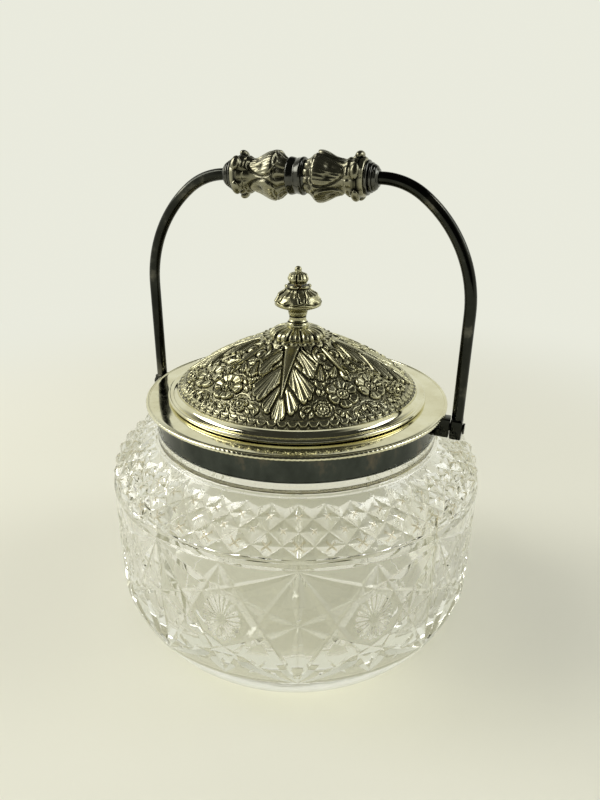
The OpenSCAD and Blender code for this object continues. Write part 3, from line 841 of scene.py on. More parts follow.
class Relief:
    """Height over a ground, on a grid of angle (degrees) and length (mm) that repeats round the piece."""

    def __init__(self, cols, lengths, radii, period):
        self.period = period
        self.lengths, self.radii = lengths, radii
        angle = (np.arange(cols) / cols) * period
        self.angle, self.length = np.meshgrid(angle, lengths)
        self.radius = np.repeat(np.asarray(radii)[:, None], cols, 1)
        self.height = np.full_like(self.angle, GROUND)

    def sideways(self, centre):
        """How far round each grid place lies from an angle, in mm."""
        off = (self.angle - centre + self.period / 2) % self.period - self.period / 2
        return np.radians(off) * self.radius

    def stroke(self, places, widths, peak, vein=0.0, round_power=2.0, moat=0.8, floor=-0.25):
        """A raised lobe or stem along a path of (degrees, mm), with half widths along it in mm.

        A vein is a line sunk along its middle. A moat is a low line kept round the outside.
        """
        along_path, along_widths = np.linspace(0, 1, len(places)), np.linspace(0, 1, len(widths))
        line = smooth_path(np.c_[np.asarray(places, float), np.interp(along_path, along_widths, widths)])
        centre = line[:, 0].mean()
        radius = np.interp(line[:, 1], *self.sorted_radii())
        px, py, width = np.radians(line[:, 0] - centre) * radius, line[:, 1], line[:, 2]
        x, y = self.sideways(centre), self.length
        far = width.max() + moat + 0.5
        near = (x > px.min() - far) & (x < px.max() + far) & (y > py.min() - far) & (y < py.max() + far)
        if not near.any():
            return
        best, offset, share, wide = nearest_on_path(px, py, width, x[near], y[near])
        inside = best < 1
        body = peak * unit(1 - best ** round_power) ** (1 / round_power)
        if vein:
            body -= vein * hump(offset, 0.3) * unit(2 - 2 * share)
        patch = self.height[near]
        outside = (best >= 1) & ((best - 1) * wide < moat)
        patch[outside] = np.minimum(patch[outside], floor + 0.2 * patch[outside])
        patch[inside] = np.maximum(body[inside], 0.02)
        self.height[near] = patch

    def sorted_radii(self):
        """The lengths in rising order, with the radius at each."""
        order = np.argsort(self.lengths)
        return np.asarray(self.lengths)[order], np.asarray(self.radii)[order]

    def around(self, degrees, length, reach):
        """The grid places near a spot, with their distance from it in mm and their direction."""
        x, y = self.sideways(degrees), self.length - length
        near = (np.abs(x) < reach) & (np.abs(y) < reach)
        return near, np.hypot(x[near], y[near]), np.arctan2(y[near], x[near])

    def fan(self, root, tip, spread, lobes, peak, rib_deep=0.42, moat=0.85, floor=-0.3):
        """A leaf lobe that opens from its root to a scalloped end. The spread is to each side, in radians."""
        radius = float(np.interp((root[1] + tip[1]) / 2, *self.sorted_radii()))
        ahead = np.array([math.radians(tip[0] - root[0]) * radius, tip[1] - root[1]])
        long = np.hypot(*ahead)
        near, away, way = self.around(*root, 1.3 * long + 1)
        turn = (way - math.atan2(ahead[1], ahead[0]) + math.pi) % TAU - math.pi
        share = unit((turn / spread + 1) / 2)
        crest = np.abs(np.sin(math.pi * lobes * share))
        end = long * (1 - 0.30 * (2 * share - 1) ** 2) * (1 - 0.10 * (1 - crest ** 0.5))
        edge = np.minimum((spread - np.abs(turn)) * away, end - away)
        fade = unit(away / (0.45 * long))
        ribs = rib_deep * (1 - crest ** 0.7) + 0.10 * (1 - wave(3 * lobes * share))
        body = peak * rounded(edge, 0.9) * (1 - ribs * fade) * (0.85 + 0.15 * away / long)
        patch = self.height[near]
        patch = np.where((edge < 0) & (edge > -moat), np.minimum(patch, floor), patch)
        self.height[near] = np.where(edge > 0, np.maximum(body, 0.02), patch)

    def boss(self, degrees, length, rx, ry, peak, moat=0.4, floor=-0.15):
        """A round bead."""
        x, y = self.sideways(degrees) / rx, (self.length - length) / ry
        d = np.hypot(x, y)
        inside, around = d < 1, (d >= 1) & (d < 1 + moat / min(rx, ry))
        self.height[around] = floor
        self.height[inside] = np.maximum(peak * bowl(d), 0.02)[inside]


def flower(r, degrees, length, size=6.3, petals=6, turn=0.0):
    """An open flower: dished round petals about a beaded heart."""
    near, away, way = r.around(degrees, length, size + 1.2)
    across = np.abs((petals * (way / TAU + 1) + turn) % 1 - 0.5) * 2
    end = size * (0.74 + 0.26 * bowl(across))
    edge = np.minimum(end - away, (1 - across) * away * math.pi / petals - 0.16)
    petal = rounded(edge, 0.7) * (0.55 + 0.45 * unit((away - 2) / (size - 3)))
    petal -= 0.14 * hump(across * away * math.pi / petals, 0.3) * (edge > 0.5)
    height = np.where(edge > 0, petal, np.where(end - away > -0.85, -0.3, r.height[near]))
    height = np.where(away < 2.9, -0.3, height)
    beads = 0.75 + 0.25 * np.cos(11 * way)
    height = np.where(away < 2.5, 0.8 * beads * rounded(0.55 - np.abs(away - 1.95), 0.55), height)
    height = np.where(away < 1.35, 1.05 * rounded(1.35 - away, 1.3), height)
    r.height[near] = height


def spray(r, degrees, length, way, size=3.2, leaves=3, spread=48, moat=0.5):
    """A few pointed leaves from one stalk. The way is in degrees, 0 sideways and -90 to the edge."""
    radius = float(np.interp(length, *r.sorted_radii()))
    for i in range(leaves):
        a = math.radians(way + spread * (i - (leaves - 1) / 2))
        long = size * (1.0 if i == (leaves - 1) / 2 else 0.85)

        def spot(d):
            return degrees + math.degrees(d * math.cos(a) / radius), length + d * math.sin(a)

        places = [spot(0.3), spot(long * 0.55), spot(long)]
        r.stroke(places, [0.4, size * 0.29, 0.12], 0.9, vein=0.35, moat=moat)


def acanthus(r, centre):
    """The tall leaf: scalloped lobes fanned to both sides of a smooth rib that runs to a point."""
    for g in (-1, 1):
        def at(off, s, g=g):
            return centre + g * off, s

        r.fan(at(14, 40), at(28, 27.0), 0.30, 3, 0.75)
        r.fan(at(6.0, 40.5), at(19, 21.0), 0.36, 5, 0.95)
        r.fan(at(5.0, 34), at(9, 23.6), 0.30, 2, 0.9)
        r.fan(at(3.4, 29.5), at(14.6, 10.4), 0.38, 5, 1.05)
        r.fan(at(1.4, 19.5), at(6.6, 5.4), 0.32, 3, 1.0)
    r.fan((centre, 17), (centre, 1.7), 0.25, 3, 1.05)
    rib = [(centre, 40.6), (centre, 33), (centre, 25), (centre, 13.0)]
    r.stroke(rib, [2.9, 2.1, 1.3, 0.15], 0.85, moat=0.7, floor=-0.3, round_power=3)


def sprig(r, centre):
    """Paired scrolls over a maple-like leaf, between the flowers."""
    for g in (-1, 1):
        def at(off, s, g=g):
            return centre + g * off, s

        r.stroke([at(1.2, 28), at(2.2, 35), at(8, 39.4), at(15, 37), at(16.4, 32), at(11.5, 29.2)],
                 [0.5, 1.0, 1.15, 1.15, 1.1, 0.45], 0.8, moat=0.4)
        r.boss(centre + g * 9, 34.0, 1.9, 2.5, 0.9)
        r.fan(at(3, 26), at(15.5, 28.5), 0.30, 3, 0.8)
        r.fan(at(1.5, 28), at(12.5, 22.0), 0.30, 3, 0.9)
        r.fan(at(15, 30), at(21.5, 20.5), 0.22, 2, 0.8)
    r.fan((centre, 29), (centre, 18.4), 0.34, 3, 0.95)
    r.stroke([(centre, 38), (centre, 31), (centre, 22)], [0.7, 1.2, 0.2], 1.0, vein=0.3)


# Degrees from a tall leaf, mm from the edge, direction, leaf length and number of leaves
SPRAYS = (
    (11.0, 8.6, -40, 5.2, 3), (17.0, 8.0, -120, 4.6, 3), (26.5, 6.6, -75, 5.0, 3), (32.5, 5.8, -100, 4.6, 3),
    (39.0, 6.0, -80, 5.0, 3), (24.0, 17.0, 75, 5.2, 3), (27.5, 21.5, 100, 5.0, 3), (20.5, 14.0, 60, 4.0, 2),
)


def lid_relief(cols, lengths, radii):
    """A quarter of the lid's pattern."""
    r = Relief(cols, lengths, radii, 90)
    for g in (-1, 1):
        for off, s, way, size, leaves in SPRAYS:
            spray(r, g * off, s, way if g > 0 else 180 - way, size, leaves)
    spray(r, 45, 7.6, -90, 5.4)
    acanthus(r, 0)
    sprig(r, 45)
    for g, turn in ((-1, 0.15), (1, 0.35)):
        flower(r, 45 + g * 10.4, 13.4, 6.5, 6, turn)
        flower(r, g * 21.0, 7.7, 3.7, 5, turn)
    scallops(r)
    return r


def scallops(r, tall=3.1, line=0.5, power=2.3):
    """U-shaped lobes pressed round the edge, each with a dark line along its rim."""
    across = np.abs((r.angle / 360 * SCALLOPS) % 1 - 0.5) * 2
    rim = tall * (1 - (1 - across ** power) ** (1 / power))
    inward = r.length - rim
    lobe = 0.55 + 0.4 * unit(1 - inward / 1.6)
    lobe = np.where(inward < line, -0.3, lobe)
    lobe = np.where(inward < -0.3, 0.35, lobe)
    r.height = np.where((r.length < tall) & ~((r.height > 0.45) & (inward > 1.3)), lobe, r.height)


def blurred(values, reach, rounds=2):
    """Evens out a grid that closes round on itself sideways."""
    out = values.copy()
    for _ in range(rounds):
        out = sum(np.roll(out, k, 1) for k in range(-reach, reach + 1)) / (2 * reach + 1)
        padded = np.pad(out, ((reach, reach), (0, 0)), mode="edge")
        out = sum(padded[k:k + len(out)] for k in range(2 * reach + 1)) / (2 * reach + 1)
    return out


def tarnish_map(height, reach):
    """How open each place is: low in crevices and on the ground, high on the crests."""
    crest = height - blurred(height, reach)
    return unit(0.43 + 0.20 * height + 0.9 * crest)


def dome_line(rows=168, fine=3000):
    """The dome's line from its edge inwards: length along it, radius and height (mm)."""
    r = np.linspace(DOME_R, DOME_FLAT_R, fine)
    z = dome_height(r)
    s = np.r_[0, np.cumsum(np.hypot(np.diff(r), np.diff(z)))]
    lengths = np.linspace(0, s[-1], rows)
    return lengths, np.interp(lengths, s, r), np.interp(lengths, s, z)


def chased_top(height, lengths, radii, heights):
    """Radius and height over the dome, with the pattern sunk into it and its edge scalloped."""
    cols = height.shape[1]
    out_r, out_z = np.gradient(heights, lengths), -np.gradient(radii, lengths)
    sink = RELIEF_DEEP * (1 - np.clip(height, -0.3, 1.05) / 1.05)
    sink *= unit((lengths[-1] - lengths) / 1.2)[:, None]
    r = radii[:, None] - sink * out_r[:, None]
    z = heights[:, None] - sink * out_z[:, None]
    step = np.abs((np.arange(cols) / cols * SCALLOPS) % 1 - 0.5) * 2
    r[0] = DOME_R - 0.7 * (1 - bowl(step))
    z[0] = np.minimum(z[0], DOME_EDGE - 0.25)
    return r, z


def make_lid_dome(quarter_cols=440, turns=4):
    """The raised dome and its underside as one closed mesh."""
    cols = quarter_cols * turns
    lengths, radii, heights = dome_line()
    pattern = np.tile(lid_relief(quarter_cols, lengths, radii).height, (1, turns))
    height = pattern * 0.6 + blurred(pattern, 1, 1) * 0.4
    r, z = chased_top(height, lengths, radii, heights)
    open_to = tarnish_map(height, 5)
    bare = blurred(np.where(np.abs(pattern - GROUND) < 0.01, 1.0, 0.0), 1, 1)
    angle = np.radians(LEAF_AZIMUTH) + np.arange(cols) * TAU / cols
    shell, shine, ground = [], [], []

    def row(rr, zz, value, stippled=0.0):
        shell.append(ring(rr, zz, angle))
        shine.append(np.broadcast_to(value, (cols,)))
        ground.append(np.broadcast_to(stippled, (cols,)))

    row(r[0] - 0.05, DOME_EDGE - DOME_THICK + 0.02, 0.35)
    for i in range(len(lengths)):
        row(r[i], z[i], open_to[i], bare[i])
    flat_top = float(heights[-1])
    row(STUD_HOLE_R, flat_top, 0.8)
    row(STUD_HOLE_R, flat_top - DOME_THICK, 0.5)
    for rr in np.linspace(DOME_FLAT_R, DOME_R - 2.5, 20):
        row(rr, float(dome_height(rr)) - DOME_THICK - UNDERSIDE_DROP, 0.5)
    faces = ring_faces(len(shell), cols, closed=True)
    piece = link_mesh("lid_dome_chased", np.concatenate(shell) * MM, faces, "lid", RELIEF)
    paint(piece, "relief", np.concatenate(shine))
    paint(piece, "ground", np.concatenate(ground))
    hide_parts("lid_dome")


# ---------------------------------------------------------------- cast work on the finial and the grips

def cast_piece(name, node, outline, cols, sunk, body="lid", material=RELIEF, along_x=None,
               blur=4, smooth=1):
    """A turned piece in place of a node, with a relief of sunk(degrees, share along) in mm inwards.

    The outline is (radius, distance) in mm. With along_x the axis is the grips' axis and the sign is
    the side it lies on.
    """
    line = np.asarray(outline, float)
    step = np.r_[0, np.cumsum(np.hypot(*np.diff(line, axis=0).T))]
    grid_a, grid_s = np.meshgrid(np.arange(cols) * 360 / cols, step / step[-1])
    deep = sunk(grid_a, grid_s)
    for _ in range(smooth):
        deep = 0.5 * deep + 0.5 * blurred(deep, 1, 1)
    tangent = np.gradient(line, axis=0)
    tangent /= np.maximum(np.hypot(*tangent.T), 1e-9)[:, None]
    out_r, out_h = tangent[:, 1], -tangent[:, 0]
    r = np.maximum(line[:, 0, None] - deep * out_r[:, None], 0.02)
    h = line[:, 1, None] - deep * out_h[:, None]
    angle = np.radians(grid_a)
    if along_x is None:
        points = np.stack([r * np.cos(angle), r * np.sin(angle), h], -1)
    else:
        points = np.stack([along_x * h, r * np.sin(angle), GRIP_AXIS / MM + r * np.cos(angle)], -1)
    faces = ring_faces(len(line), cols)
    first = tuple(range(cols))
    last = tuple(range((len(line) - 1) * cols, len(line) * cols))
    if along_x == 1:
        faces = [f[::-1] for f in faces] + [first, last[::-1]]
    else:
        faces += [first[::-1], last]
    piece = link_mesh(name, points.reshape(-1, 3) * MM, faces, body, material, math.radians(60))
    paint(piece, "relief", tarnish_map(1 - deep / max(deep.max(), 1e-6), blur))
    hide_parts(node)


def eased(stations, steps=14):
    """Points of a turned outline that eases from one (radius, distance) station to the next."""
    points = []
    for (r0, h0), (r1, h1) in zip(stations[:-1], stations[1:]):
        for k in range(steps):
            t = k / steps
            points.append((r0 + (r1 - r0) * (1 - math.cos(math.pi * t)) / 2, h0 + (h1 - h0) * t))
    return points + [stations[-1]]


def bulge(r, h, bend, start, end, steps):
    """A round stretch of a turned outline, widest at the radius r and the distance h. Angles in radians."""
    return [(r - bend + bend * math.sin(a), h - bend * math.cos(a)) for a in np.linspace(start, end, steps)]


def repeat(degrees, count, shift=0.0):
    """Where an angle lies within its repeat, from -1 to 1."""
    return 2 * (((degrees / 360 * count + shift) % 1) - 0.5)


def plate_sunk(a, s):
    """Lobes round the plate's edge and a line between each two of them."""
    lobe = 0.9 * (1 - np.abs(np.cos(np.radians(a * 12))))
    edge = unit((s - 0.02) / 0.06) * unit((0.22 - s) / 0.1)
    line = 0.35 * tent(np.abs(repeat(a, 24)) - 1, 0.5) * tent(s - 0.45, 0.3)
    return lobe * unit((0.3 - s) / 0.12) + line + 0.12 * edge


def petals_sunk(a, s):
    """Twelve veined petals."""
    u = repeat(a, 12)
    gap = 0.95 * tent(1 - np.abs(u), 0.34) ** 0.8
    return (gap + 0.3 * tent(u, 0.16)) * unit((0.93 - s) / 0.12)


def neck_sunk(a, s):
    """A beaded ring and two turned lines."""
    lines = 0.3 * hump(s - 0.34, 0.04) + 0.25 * hump(s - 0.72, 0.05)
    return lines + 0.12 * tent(s - 0.16, 0.10) * (1 - np.abs(np.cos(np.radians(a * 8))))


def cup_sunk(a, s):
    """Five ribbed leaves with an eye each, on the upper part of the cup."""
    u, v = repeat(a, 5, 0.783), (s - 0.46) / 0.54
    across = np.abs(u) / (0.9 - 0.35 * unit(v))
    low_edge = 0.10 + 0.14 * across ** 2
    gap = 0.8 * hump(across - 0.98, 0.09) + 0.25 * unit((across - 0.98) / 0.1)
    under = tent(v - low_edge + 0.05, 0.05)
    eye = np.exp(-1.6 * ((u / 0.26) ** 2 + ((v - 0.16) / 0.13) ** 2))
    arch = hump(np.hypot(u / 0.45, (v - 0.16) / 0.24) - 1, 0.2)
    ribs = 0.3 * wave(1.5 * unit(across)) * unit((v - 0.42) / 0.2)
    deep = gap * unit((v - low_edge) / 0.05) + 0.75 * under + 0.95 * eye - 0.1 * arch + ribs
    return np.where((v > 0) & (v <= 1), np.clip(deep, 0, 1.15), 0.0) + 0.12


def curls_sunk(a, s):
    """Six knobs round the ring."""
    return 0.85 * (1 - bowl(repeat(a, 6) / 0.8) * bowl((s - 0.5) / 0.5))


def bud_sunk(a, s):
    """Five folded leaves up to the bud's tip."""
    u = repeat(a, 5, 0.1)
    slot = 0.8 * tent(1 - np.abs(u), 0.3) * unit((0.74 - s) / 0.12)
    return slot + 0.25 * tent(u, 0.14) * unit((0.6 - s) / 0.1)


def make_finial():
    """The finial's six castings, each from the one below it up."""
    plate, petals, stem, cup, curls, bud = (
        top("finial_" + name) / MM for name in ("plate", "rosette", "stem", "cup", "bead_ring", "bud")
    )
    low = base("finial_plate") / MM
    outline = [(14.9, low), (14.9, plate - 0.35), (14.75, plate - 0.1), (14.5, plate)]
    outline += [(r, plate) for r in np.linspace(14.1, 5.0, 34)]
    cast_piece("finial_plate_lobes", "finial_plate", outline, 480, plate_sunk, blur=3)

    quarter = np.radians(np.linspace(0, 90, 44))
    outline = [(4.65 + 7.05 * math.cos(a), plate + 3.4 * math.sin(a)) for a in quarter]
    cast_piece("finial_petals", "finial_rosette", outline, 432, petals_sunk)

    outline = [(4.55, petals), (4.65, petals + 0.6), (4.6, petals + 1.2)]
    outline += eased([(4.3, petals + 1.6), (3.5, petals + 3.0), (3.75, petals + 4.6), (4.0, stem)], 8)
    cast_piece("finial_neck", "finial_stem", outline, 192, neck_sunk, blur=3)

    outline = eased([(4.0, stem), (9.7, stem + 3.2), (9.95, stem + 4.4), (8.5, stem + 7.0), (5.5, cup)], 16)
    cast_piece("finial_cup_leaves", "finial_cup", outline, 432, cup_sunk)

    cast_piece("finial_curls", "finial_bead_ring", arc(4.55, (cup + curls) / 2, 0.95, -90, 90, 22), 216,
               curls_sunk, blur=3)

    tip_r = 1.45
    tip = bud - tip_r
    outline = eased([(3.5, curls), (4.3, curls + 1.9), (3.7, tip - 1.9), (1.35, tip - 0.6)], 9)
    outline += [(max(r, 0.03), h) for r, h in arc(0, tip, tip_r, -20, 89, 12)]
    cast_piece("finial_bud_leaves", "finial_bud", outline, 180, bud_sunk, blur=3)


def grip_sunk(a, s, turn):
    """Leaf shells on the bulb, a smooth waist, round knobs at the end and a ruffled inner edge."""
    u, knob_u = repeat(a, 4, turn), repeat(a, 5, turn + 0.2)
    shell = np.hypot(u / 0.86, (s - 0.36) / 0.25)
    leaf = unit((1.04 - shell) / 0.1)
    eyes = hump(np.hypot((u - 0.28) / 0.2, (s - 0.44) / 0.06), 1)
    eyes += hump(np.hypot((u + 0.34) / 0.15, (s - 0.42) / 0.05), 1)
    ribs = 0.12 * wave(5 * (u + 0.5 * (s - 0.36))) * leaf
    deep = 0.42 * (1 - leaf) + 0.6 * hump(shell - 1.08, 0.07) + 0.7 * eyes * leaf + ribs
    edge = unit((0.16 - s) / 0.05)
    ruffle = 0.25 + 0.75 * repeat(a, 12, turn * 3) ** 2
    deep = deep * (1 - edge) + ruffle * edge
    deep += 0.7 * hump(s - 0.165, 0.022) * (0.6 + 0.4 * np.cos(np.radians(a * 8)))
    knob = bowl(np.hypot(knob_u / 0.62, (s - 0.845) / 0.13)) ** 0.6
    crown = unit((s - 0.68) / 0.1) * unit((0.975 - s) / 0.02)
    deep = deep * (1 - unit((s - 0.62) / 0.08)) + crown * 2.0 * (1 - knob) * bowl((s - 0.85) / 0.2)
    deep += 0.45 * hump(np.abs(knob_u) - 0.6, 0.14) * tent(s - 0.7, 0.12)
    return np.clip(deep, 0, 2.6)


def plain(a, s):
    return 0 * a


def make_grips():
    """Two leafy grips with their ferrules, and the ring between them."""
    for side, name, turn in ((-1, "left", 0.05), (1, "right", 0.3)):
        grip = eased([(6.5, 3.8), (9.4, 8.6), (6.5, 18.0), (7.2, 21.0)], 30)
        grip += bulge(9.2, 23.7, 2.2, 0.35, 2.94, 30) + [(6.9, 26.2), (6.5, 26.4)]
        cast_piece("grip_leaves_" + name, "grip_" + name, grip, 240, lambda a, s, t=turn: grip_sunk(a, s, t),
                   "bail", CAST, along_x=side)
        ferrule = [(5.0, 26.45)] + bulge(6.2, 27.05, 0.6, 0, math.pi, 10)
        ferrule += [(5.1 + 0.12 * math.sin(a), 27.75 + 0.1 * a / math.pi) for a in np.linspace(0, math.pi, 4)]
        ferrule += bulge(5.3, 28.5, 0.55, 0.3, math.pi - 0.2, 9)
        ferrule += eased([(4.6, 29.1), (4.75, 29.5), (4.3, 30.2), (3.15, 31.2)], 5) + [(2.4, 31.25)]
        cast_piece("ferrule_turned_" + name, "ferrule_" + name, ferrule, 128, plain, "bail", FERRULE,
                   along_x=side, smooth=0)
    middle = [(5.9, -3.8)] + bulge(6.9, -2.9, 0.9, 0.2, 1.7, 8) + [(6.5, -1.3), (6.2, -1.0), (6.2, -0.4)]
    middle += [(6.5, -0.1)] + bulge(6.9, 1.9, 0.9, 0.9, math.pi - 0.2, 12) + [(5.9, 3.0), (5.9, 3.8)]
    cast_piece("grip_ring_turned", "grip_centre_ring", middle, 160, plain, "bail", FERRULE,
               along_x=1, smooth=0)


# ---------------------------------------------------------------- wire, feet, collar and rim

WIRE_R = 2.28
WIRE_SIDES = 32


def make_wire():
    """The whole handle wire in one piece, up one leg, through the grips and down the other."""
    leg, low_c, high_c = 68.3, (16.85, 144.2), (31.4, 163.6)
    half = [(leg, top("foot_right") / MM - 0.1), (leg, 112), (leg, 124), (leg, 134)]
    half += arc(*low_c, 51.45, 0, 53.13, 22)
    half += arc(*high_c, 27.2, 53.13, 90, 14)[1:]
    half += [(20, GRIP_AXIS / MM)]
    line = np.asarray(half + [(-x, z) for x, z in half[::-1]], float)
    ahead = np.gradient(line, axis=0)
    ahead /= np.hypot(*ahead.T)[:, None]
    a = np.arange(WIRE_SIDES) * TAU / WIRE_SIDES
    across, sideways = WIRE_R * np.cos(a), WIRE_R * np.sin(a)
    rows = [np.c_[p[0] - across * t[1], sideways, p[1] + across * t[0]] for p, t in zip(line, ahead)]
    faces = [f[::-1] for f in ring_faces(len(rows), WIRE_SIDES)]
    last = (len(rows) - 1) * WIRE_SIDES
    faces += [tuple(range(WIRE_SIDES)), tuple(range(last, last + WIRE_SIDES))[::-1]]
    verts = np.concatenate(rows) * MM
    wire = link_mesh("handle_wire", verts, faces, "bail", WIRE, math.radians(50))
    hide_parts("bail_wire")


def worn_block(name, body, rounding):
    """A small block with worn edges in place of a node's plain one."""
    low, high = (np.array(v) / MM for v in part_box(name))
    mesh = bmesh.new()
    bmesh.ops.create_cube(mesh, size=1.0)
    for v in mesh.verts:
        v.co = Vector(((low + high) / 2 + np.array(v.co) * (high - low)) * MM)
    edges = list(mesh.edges) + list(mesh.verts)
    bmesh.ops.bevel(mesh, geom=edges, offset=rounding * MM, segments=3, profile=0.5, affect="EDGES")
    verts = [v.co.copy() for v in mesh.verts]
    mesh.verts.index_update()
    faces = [tuple(v.index for v in f.verts) for f in mesh.faces]
    mesh.free()
    block = link_mesh(name + "_worn", verts, faces, body, WIRE, math.radians(40))
    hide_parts(name)


def make_feet():
    """The handle's feet and the ears on the band that carry them."""
    for kind, body, rounding in (("foot", "bail", 0.7), ("lug", "jar", 0.4)):
        for side in ("left", "right"):
            worn_block(kind + "_" + side, body, rounding)


def make_band():
    """The upright band, a little hollow between its edges."""
    low, high = BAND_BASE / MM, FLANGE_UNDER / MM
    r, inner = BAND_R / MM, BAND_R / MM - 0.9
    profile = [(inner, low + 0.1), (r - 0.45, low), (r - 0.1, low + 0.1), (r, low + 0.4)]
    profile += [(r - 0.14 * math.sin(math.pi * t), low + 0.4 + (high - low - 0.9) * t)
                for t in np.linspace(0.08, 1, 12)]
    profile += [(r, high - 0.02), (inner, high - 0.02)]
    lathe("collar_band_worn", "collar_band", profile, "jar", BAND)


def make_flange():
    """The flat lip and its turned-down inner edge."""
    profile = [(50.0, 97.6), (50.3, 97.5), (50.8, 97.55), (50.9, 97.8), (50.9, 103.0), (59.9, 103.0)]
    profile += [(62.3, 103.0), (62.3, 104.0), (62.0, 104.16), (61.2, 104.2), (58.0, 104.12), (55.5, 104.12)]
    profile += [(52.5, 104.2)] + arc(50.9, 103.3, 0.9, 90, 180, 6)
    lift = FLANGE_TOP / MM - 104.2
    profile = [(r, z + lift) for r, z in profile]
    lathe("collar_flange_polished", "collar_flange", profile, "jar", PLATE)


def make_edge_bead(bead_r=0.8, reeds=220, reed_deep=0.13, rows=15):
    """The reeded wire round the lip's edge."""
    centre = reach("flange_edge_bead") / MM - bead_r
    middle = (top("flange_edge_bead") + base("flange_edge_bead")) / 2 / MM
    cols = reeds * 4
    angle = np.arange(cols) * TAU / cols
    verts = []
    for a in np.linspace(-150, 150, rows):
        ca, sa = math.cos(math.radians(a)), math.sin(math.radians(a))
        thick = bead_r - reed_deep * (1 - np.abs(np.cos(angle * reeds / 2 + a / 60))) * max(ca + 0.4, 0)
        verts.append(ring(centre + thick * ca, middle + thick * sa, angle))
    faces = ring_faces(rows, cols, closed=True)
    bead = link_mesh("flange_edge_reeded", np.concatenate(verts) * MM, faces, "jar", PLATE)
    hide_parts("flange_edge_bead")


def make_rim():
    """The lid's polished rim: a rolled edge below a hollow cove."""
    low = base("lid_rim") / MM
    profile = [(48.7, low)] + arc(53.65, low + 0.85, 0.85, -90, 80, 12)
    profile += [(53.3, low + 1.62), (52.9, low + 1.6)]
    turn = np.linspace(0.12, 1, 14) * math.pi / 2
    profile += [(50.35 + 2.45 * (1 - math.sin(a)), low + 3.88 - 2.5 * math.cos(a)) for a in turn]
    profile += [(48.7, low + 3.88)]
    lathe("lid_rim_rolled", "lid_rim", profile, "lid", PLATE, sharp_angle=math.radians(50))


# ---------------------------------------------------------------- setting

BACKDROP = (0.82, 0.825, 0.725)
FLOOR_TONES = ((0.80, 0.787, 0.662), (0.815, 0.806, 0.685))
FLOOR_HALF = 3.0
FADE_FROM, FADE_TO = 0.19, 0.62
LIT_WORLD, LIT_STRENGTH = (0.96, 0.96, 0.92), 0.55
ROOM_TONE = (0.035, 0.036, 0.03)
ROOM_OVERHEAD = (0.42, 0.72)
ROOM_IN_FRONT = (0.45, 0.85)
PHOTOGRAPHER = (0.34, -0.86, 0.38)
GLASS_SKIPS_ROOM = 0.74
AIM = Vector((0, 0, 0.09))


def seen_rays(n):
    """1 for rays that show a backdrop: straight, mirrored or through glass."""
    path = n.add("LightPath")
    straight = n.math("MAXIMUM", path.outputs["Is Camera Ray"], path.outputs["Is Transmission Ray"])
    return n.math("MAXIMUM", straight, path.outputs["Is Glossy Ray"])


def make_floor():
    """A paper sweep: lit and shaded near the jar, and the backdrop's own tone farther out."""
    n = Nodes("floor_paper")
    tone = n.mix(n.noise(3, 2), *FLOOR_TONES)
    grain = n.bump(n.noise(900, 3), 0.03, 0.0002)
    near = n.add("BsdfPrincipled", Base_Color=tone, Roughness=0.8, Normal=grain)
    distance = n.add("VectorMath")
    distance.operation = "LENGTH"
    n.put(distance.inputs[0], n.place)
    away = n.fade(distance.outputs["Value"], FADE_FROM, FADE_TO, "SMOOTHERSTEP")
    far = n.add("Emission", Color=(*BACKDROP, 1), Strength=1.0)
    paper = n.finish(n.either(n.math("MULTIPLY", away, seen_rays(n)), near, far))
    mesh = bpy.data.meshes.new("floor")
    corners = [(x * FLOOR_HALF, y * FLOOR_HALF, 0) for x, y in ((-1, -1), (1, -1), (1, 1), (-1, 1))]
    mesh.from_pydata(corners, [], [(0, 1, 2, 3)])
    mesh.materials.append(paper)
    floor = bpy.data.objects.new("floor", mesh)
    bpy.context.scene.collection.objects.link(floor)


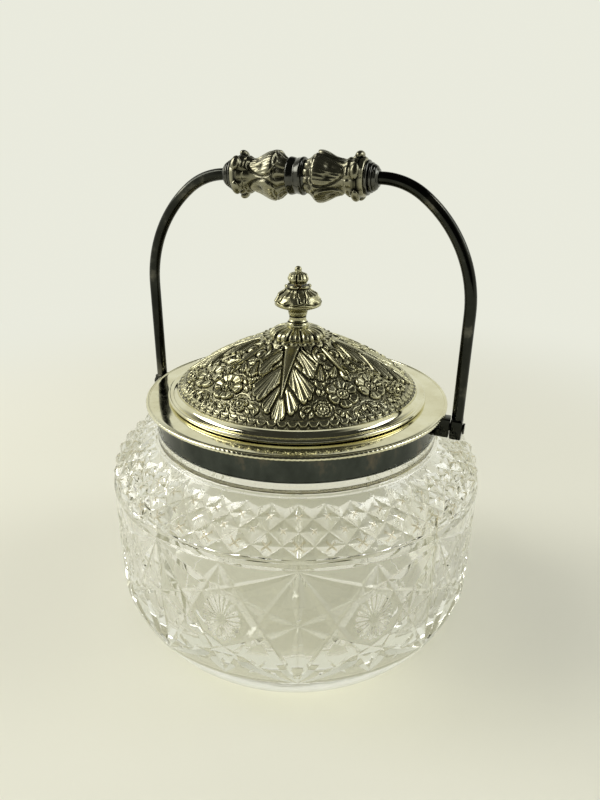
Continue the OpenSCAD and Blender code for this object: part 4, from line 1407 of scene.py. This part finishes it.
def make_world():
    """Even light, with a pale backdrop low down and a dimmer room overhead and in front.

    The metal shows that room. The glass shows little of it.
    """
    world = bpy.data.worlds.new("studio")
    bpy.context.scene.world = world
    n = Nodes(world)
    way = n.coordinates.outputs["Generated"]
    overhead = n.fade(n.add("SeparateXYZ", Vector=way).outputs["Z"], *ROOM_OVERHEAD)
    toward = n.add("VectorMath")
    toward.operation = "DOT_PRODUCT"
    n.put(toward.inputs[0], way)
    n.put(toward.inputs[1], PHOTOGRAPHER)
    room = n.math("MAXIMUM", overhead, n.fade(toward.outputs["Value"], *ROOM_IN_FRONT))
    path = n.add("LightPath")
    deep = n.math("GREATER_THAN", path.outputs["Ray Depth"], DEEPEST_BEND)
    through = n.math("MAXIMUM", path.outputs["Is Transmission Ray"], deep)
    skipped = n.math("MULTIPLY", through, GLASS_SKIPS_ROOM)
    mirrored = n.math("SUBTRACT", path.outputs["Is Glossy Ray"], skipped, clamp=True)
    seen = n.add("Background", Color=n.mix(n.math("MULTIPLY", room, mirrored), BACKDROP, ROOM_TONE))
    lit = n.add("Background", Color=(*LIT_WORLD, 1), Strength=LIT_STRENGTH)
    n.finish(n.either(seen_rays(n), lit, seen), "OutputWorld")


def soft_lamp(name, place, size, power, colour):
    """A rectangular lamp that points at the jar."""
    data = bpy.data.lights.new(name, "AREA")
    data.shape = "RECTANGLE"
    data.size, data.size_y = size
    data.energy = power
    data.color = colour
    lamp = bpy.data.objects.new(name, data)
    lamp.location = place
    lamp.rotation_mode = "QUATERNION"
    lamp.rotation_quaternion = (AIM - Vector(place)).to_track_quat("-Z", "Y")
    bpy.context.scene.collection.objects.link(lamp)


def make_setting():
    make_floor()
    make_world()
    soft_lamp("window_left", (-0.95, -0.25, 0.95), (0.55, 0.9), 9, (1, 0.99, 0.96))
    soft_lamp("window_right", (0.9, 0.35, 0.8), (0.4, 0.7), 3.5, (0.96, 0.98, 1))


# ---------------------------------------------------------------- the scene

NODE_LOOKS = {
    "glass_jar": GLASS, "neck_cement": PLASTER, "collar_band": BAND,
    "finial_stud": BRASS, "finial_washer": BRASS, "finial_nut": BRASS,
    "bail_wire": WIRE, "foot_left": WIRE, "foot_right": WIRE, "lug_left": WIRE, "lug_right": WIRE,
    "pivot_pins": WIRE, "grip_centre_ring": WIRE,
}

make_camera()
make_setting()
make_glass()
make_lid_dome()
make_finial()
make_grips()
make_wire()
make_feet()
make_band()
make_flange()
make_edge_bead()
make_rim()

for name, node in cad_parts.items():
    node.data.materials.clear()
    node.data.materials.append(NODE_LOOKS.get(name, PLATE))

bpy.context.scene.view_settings.view_transform = "Standard"
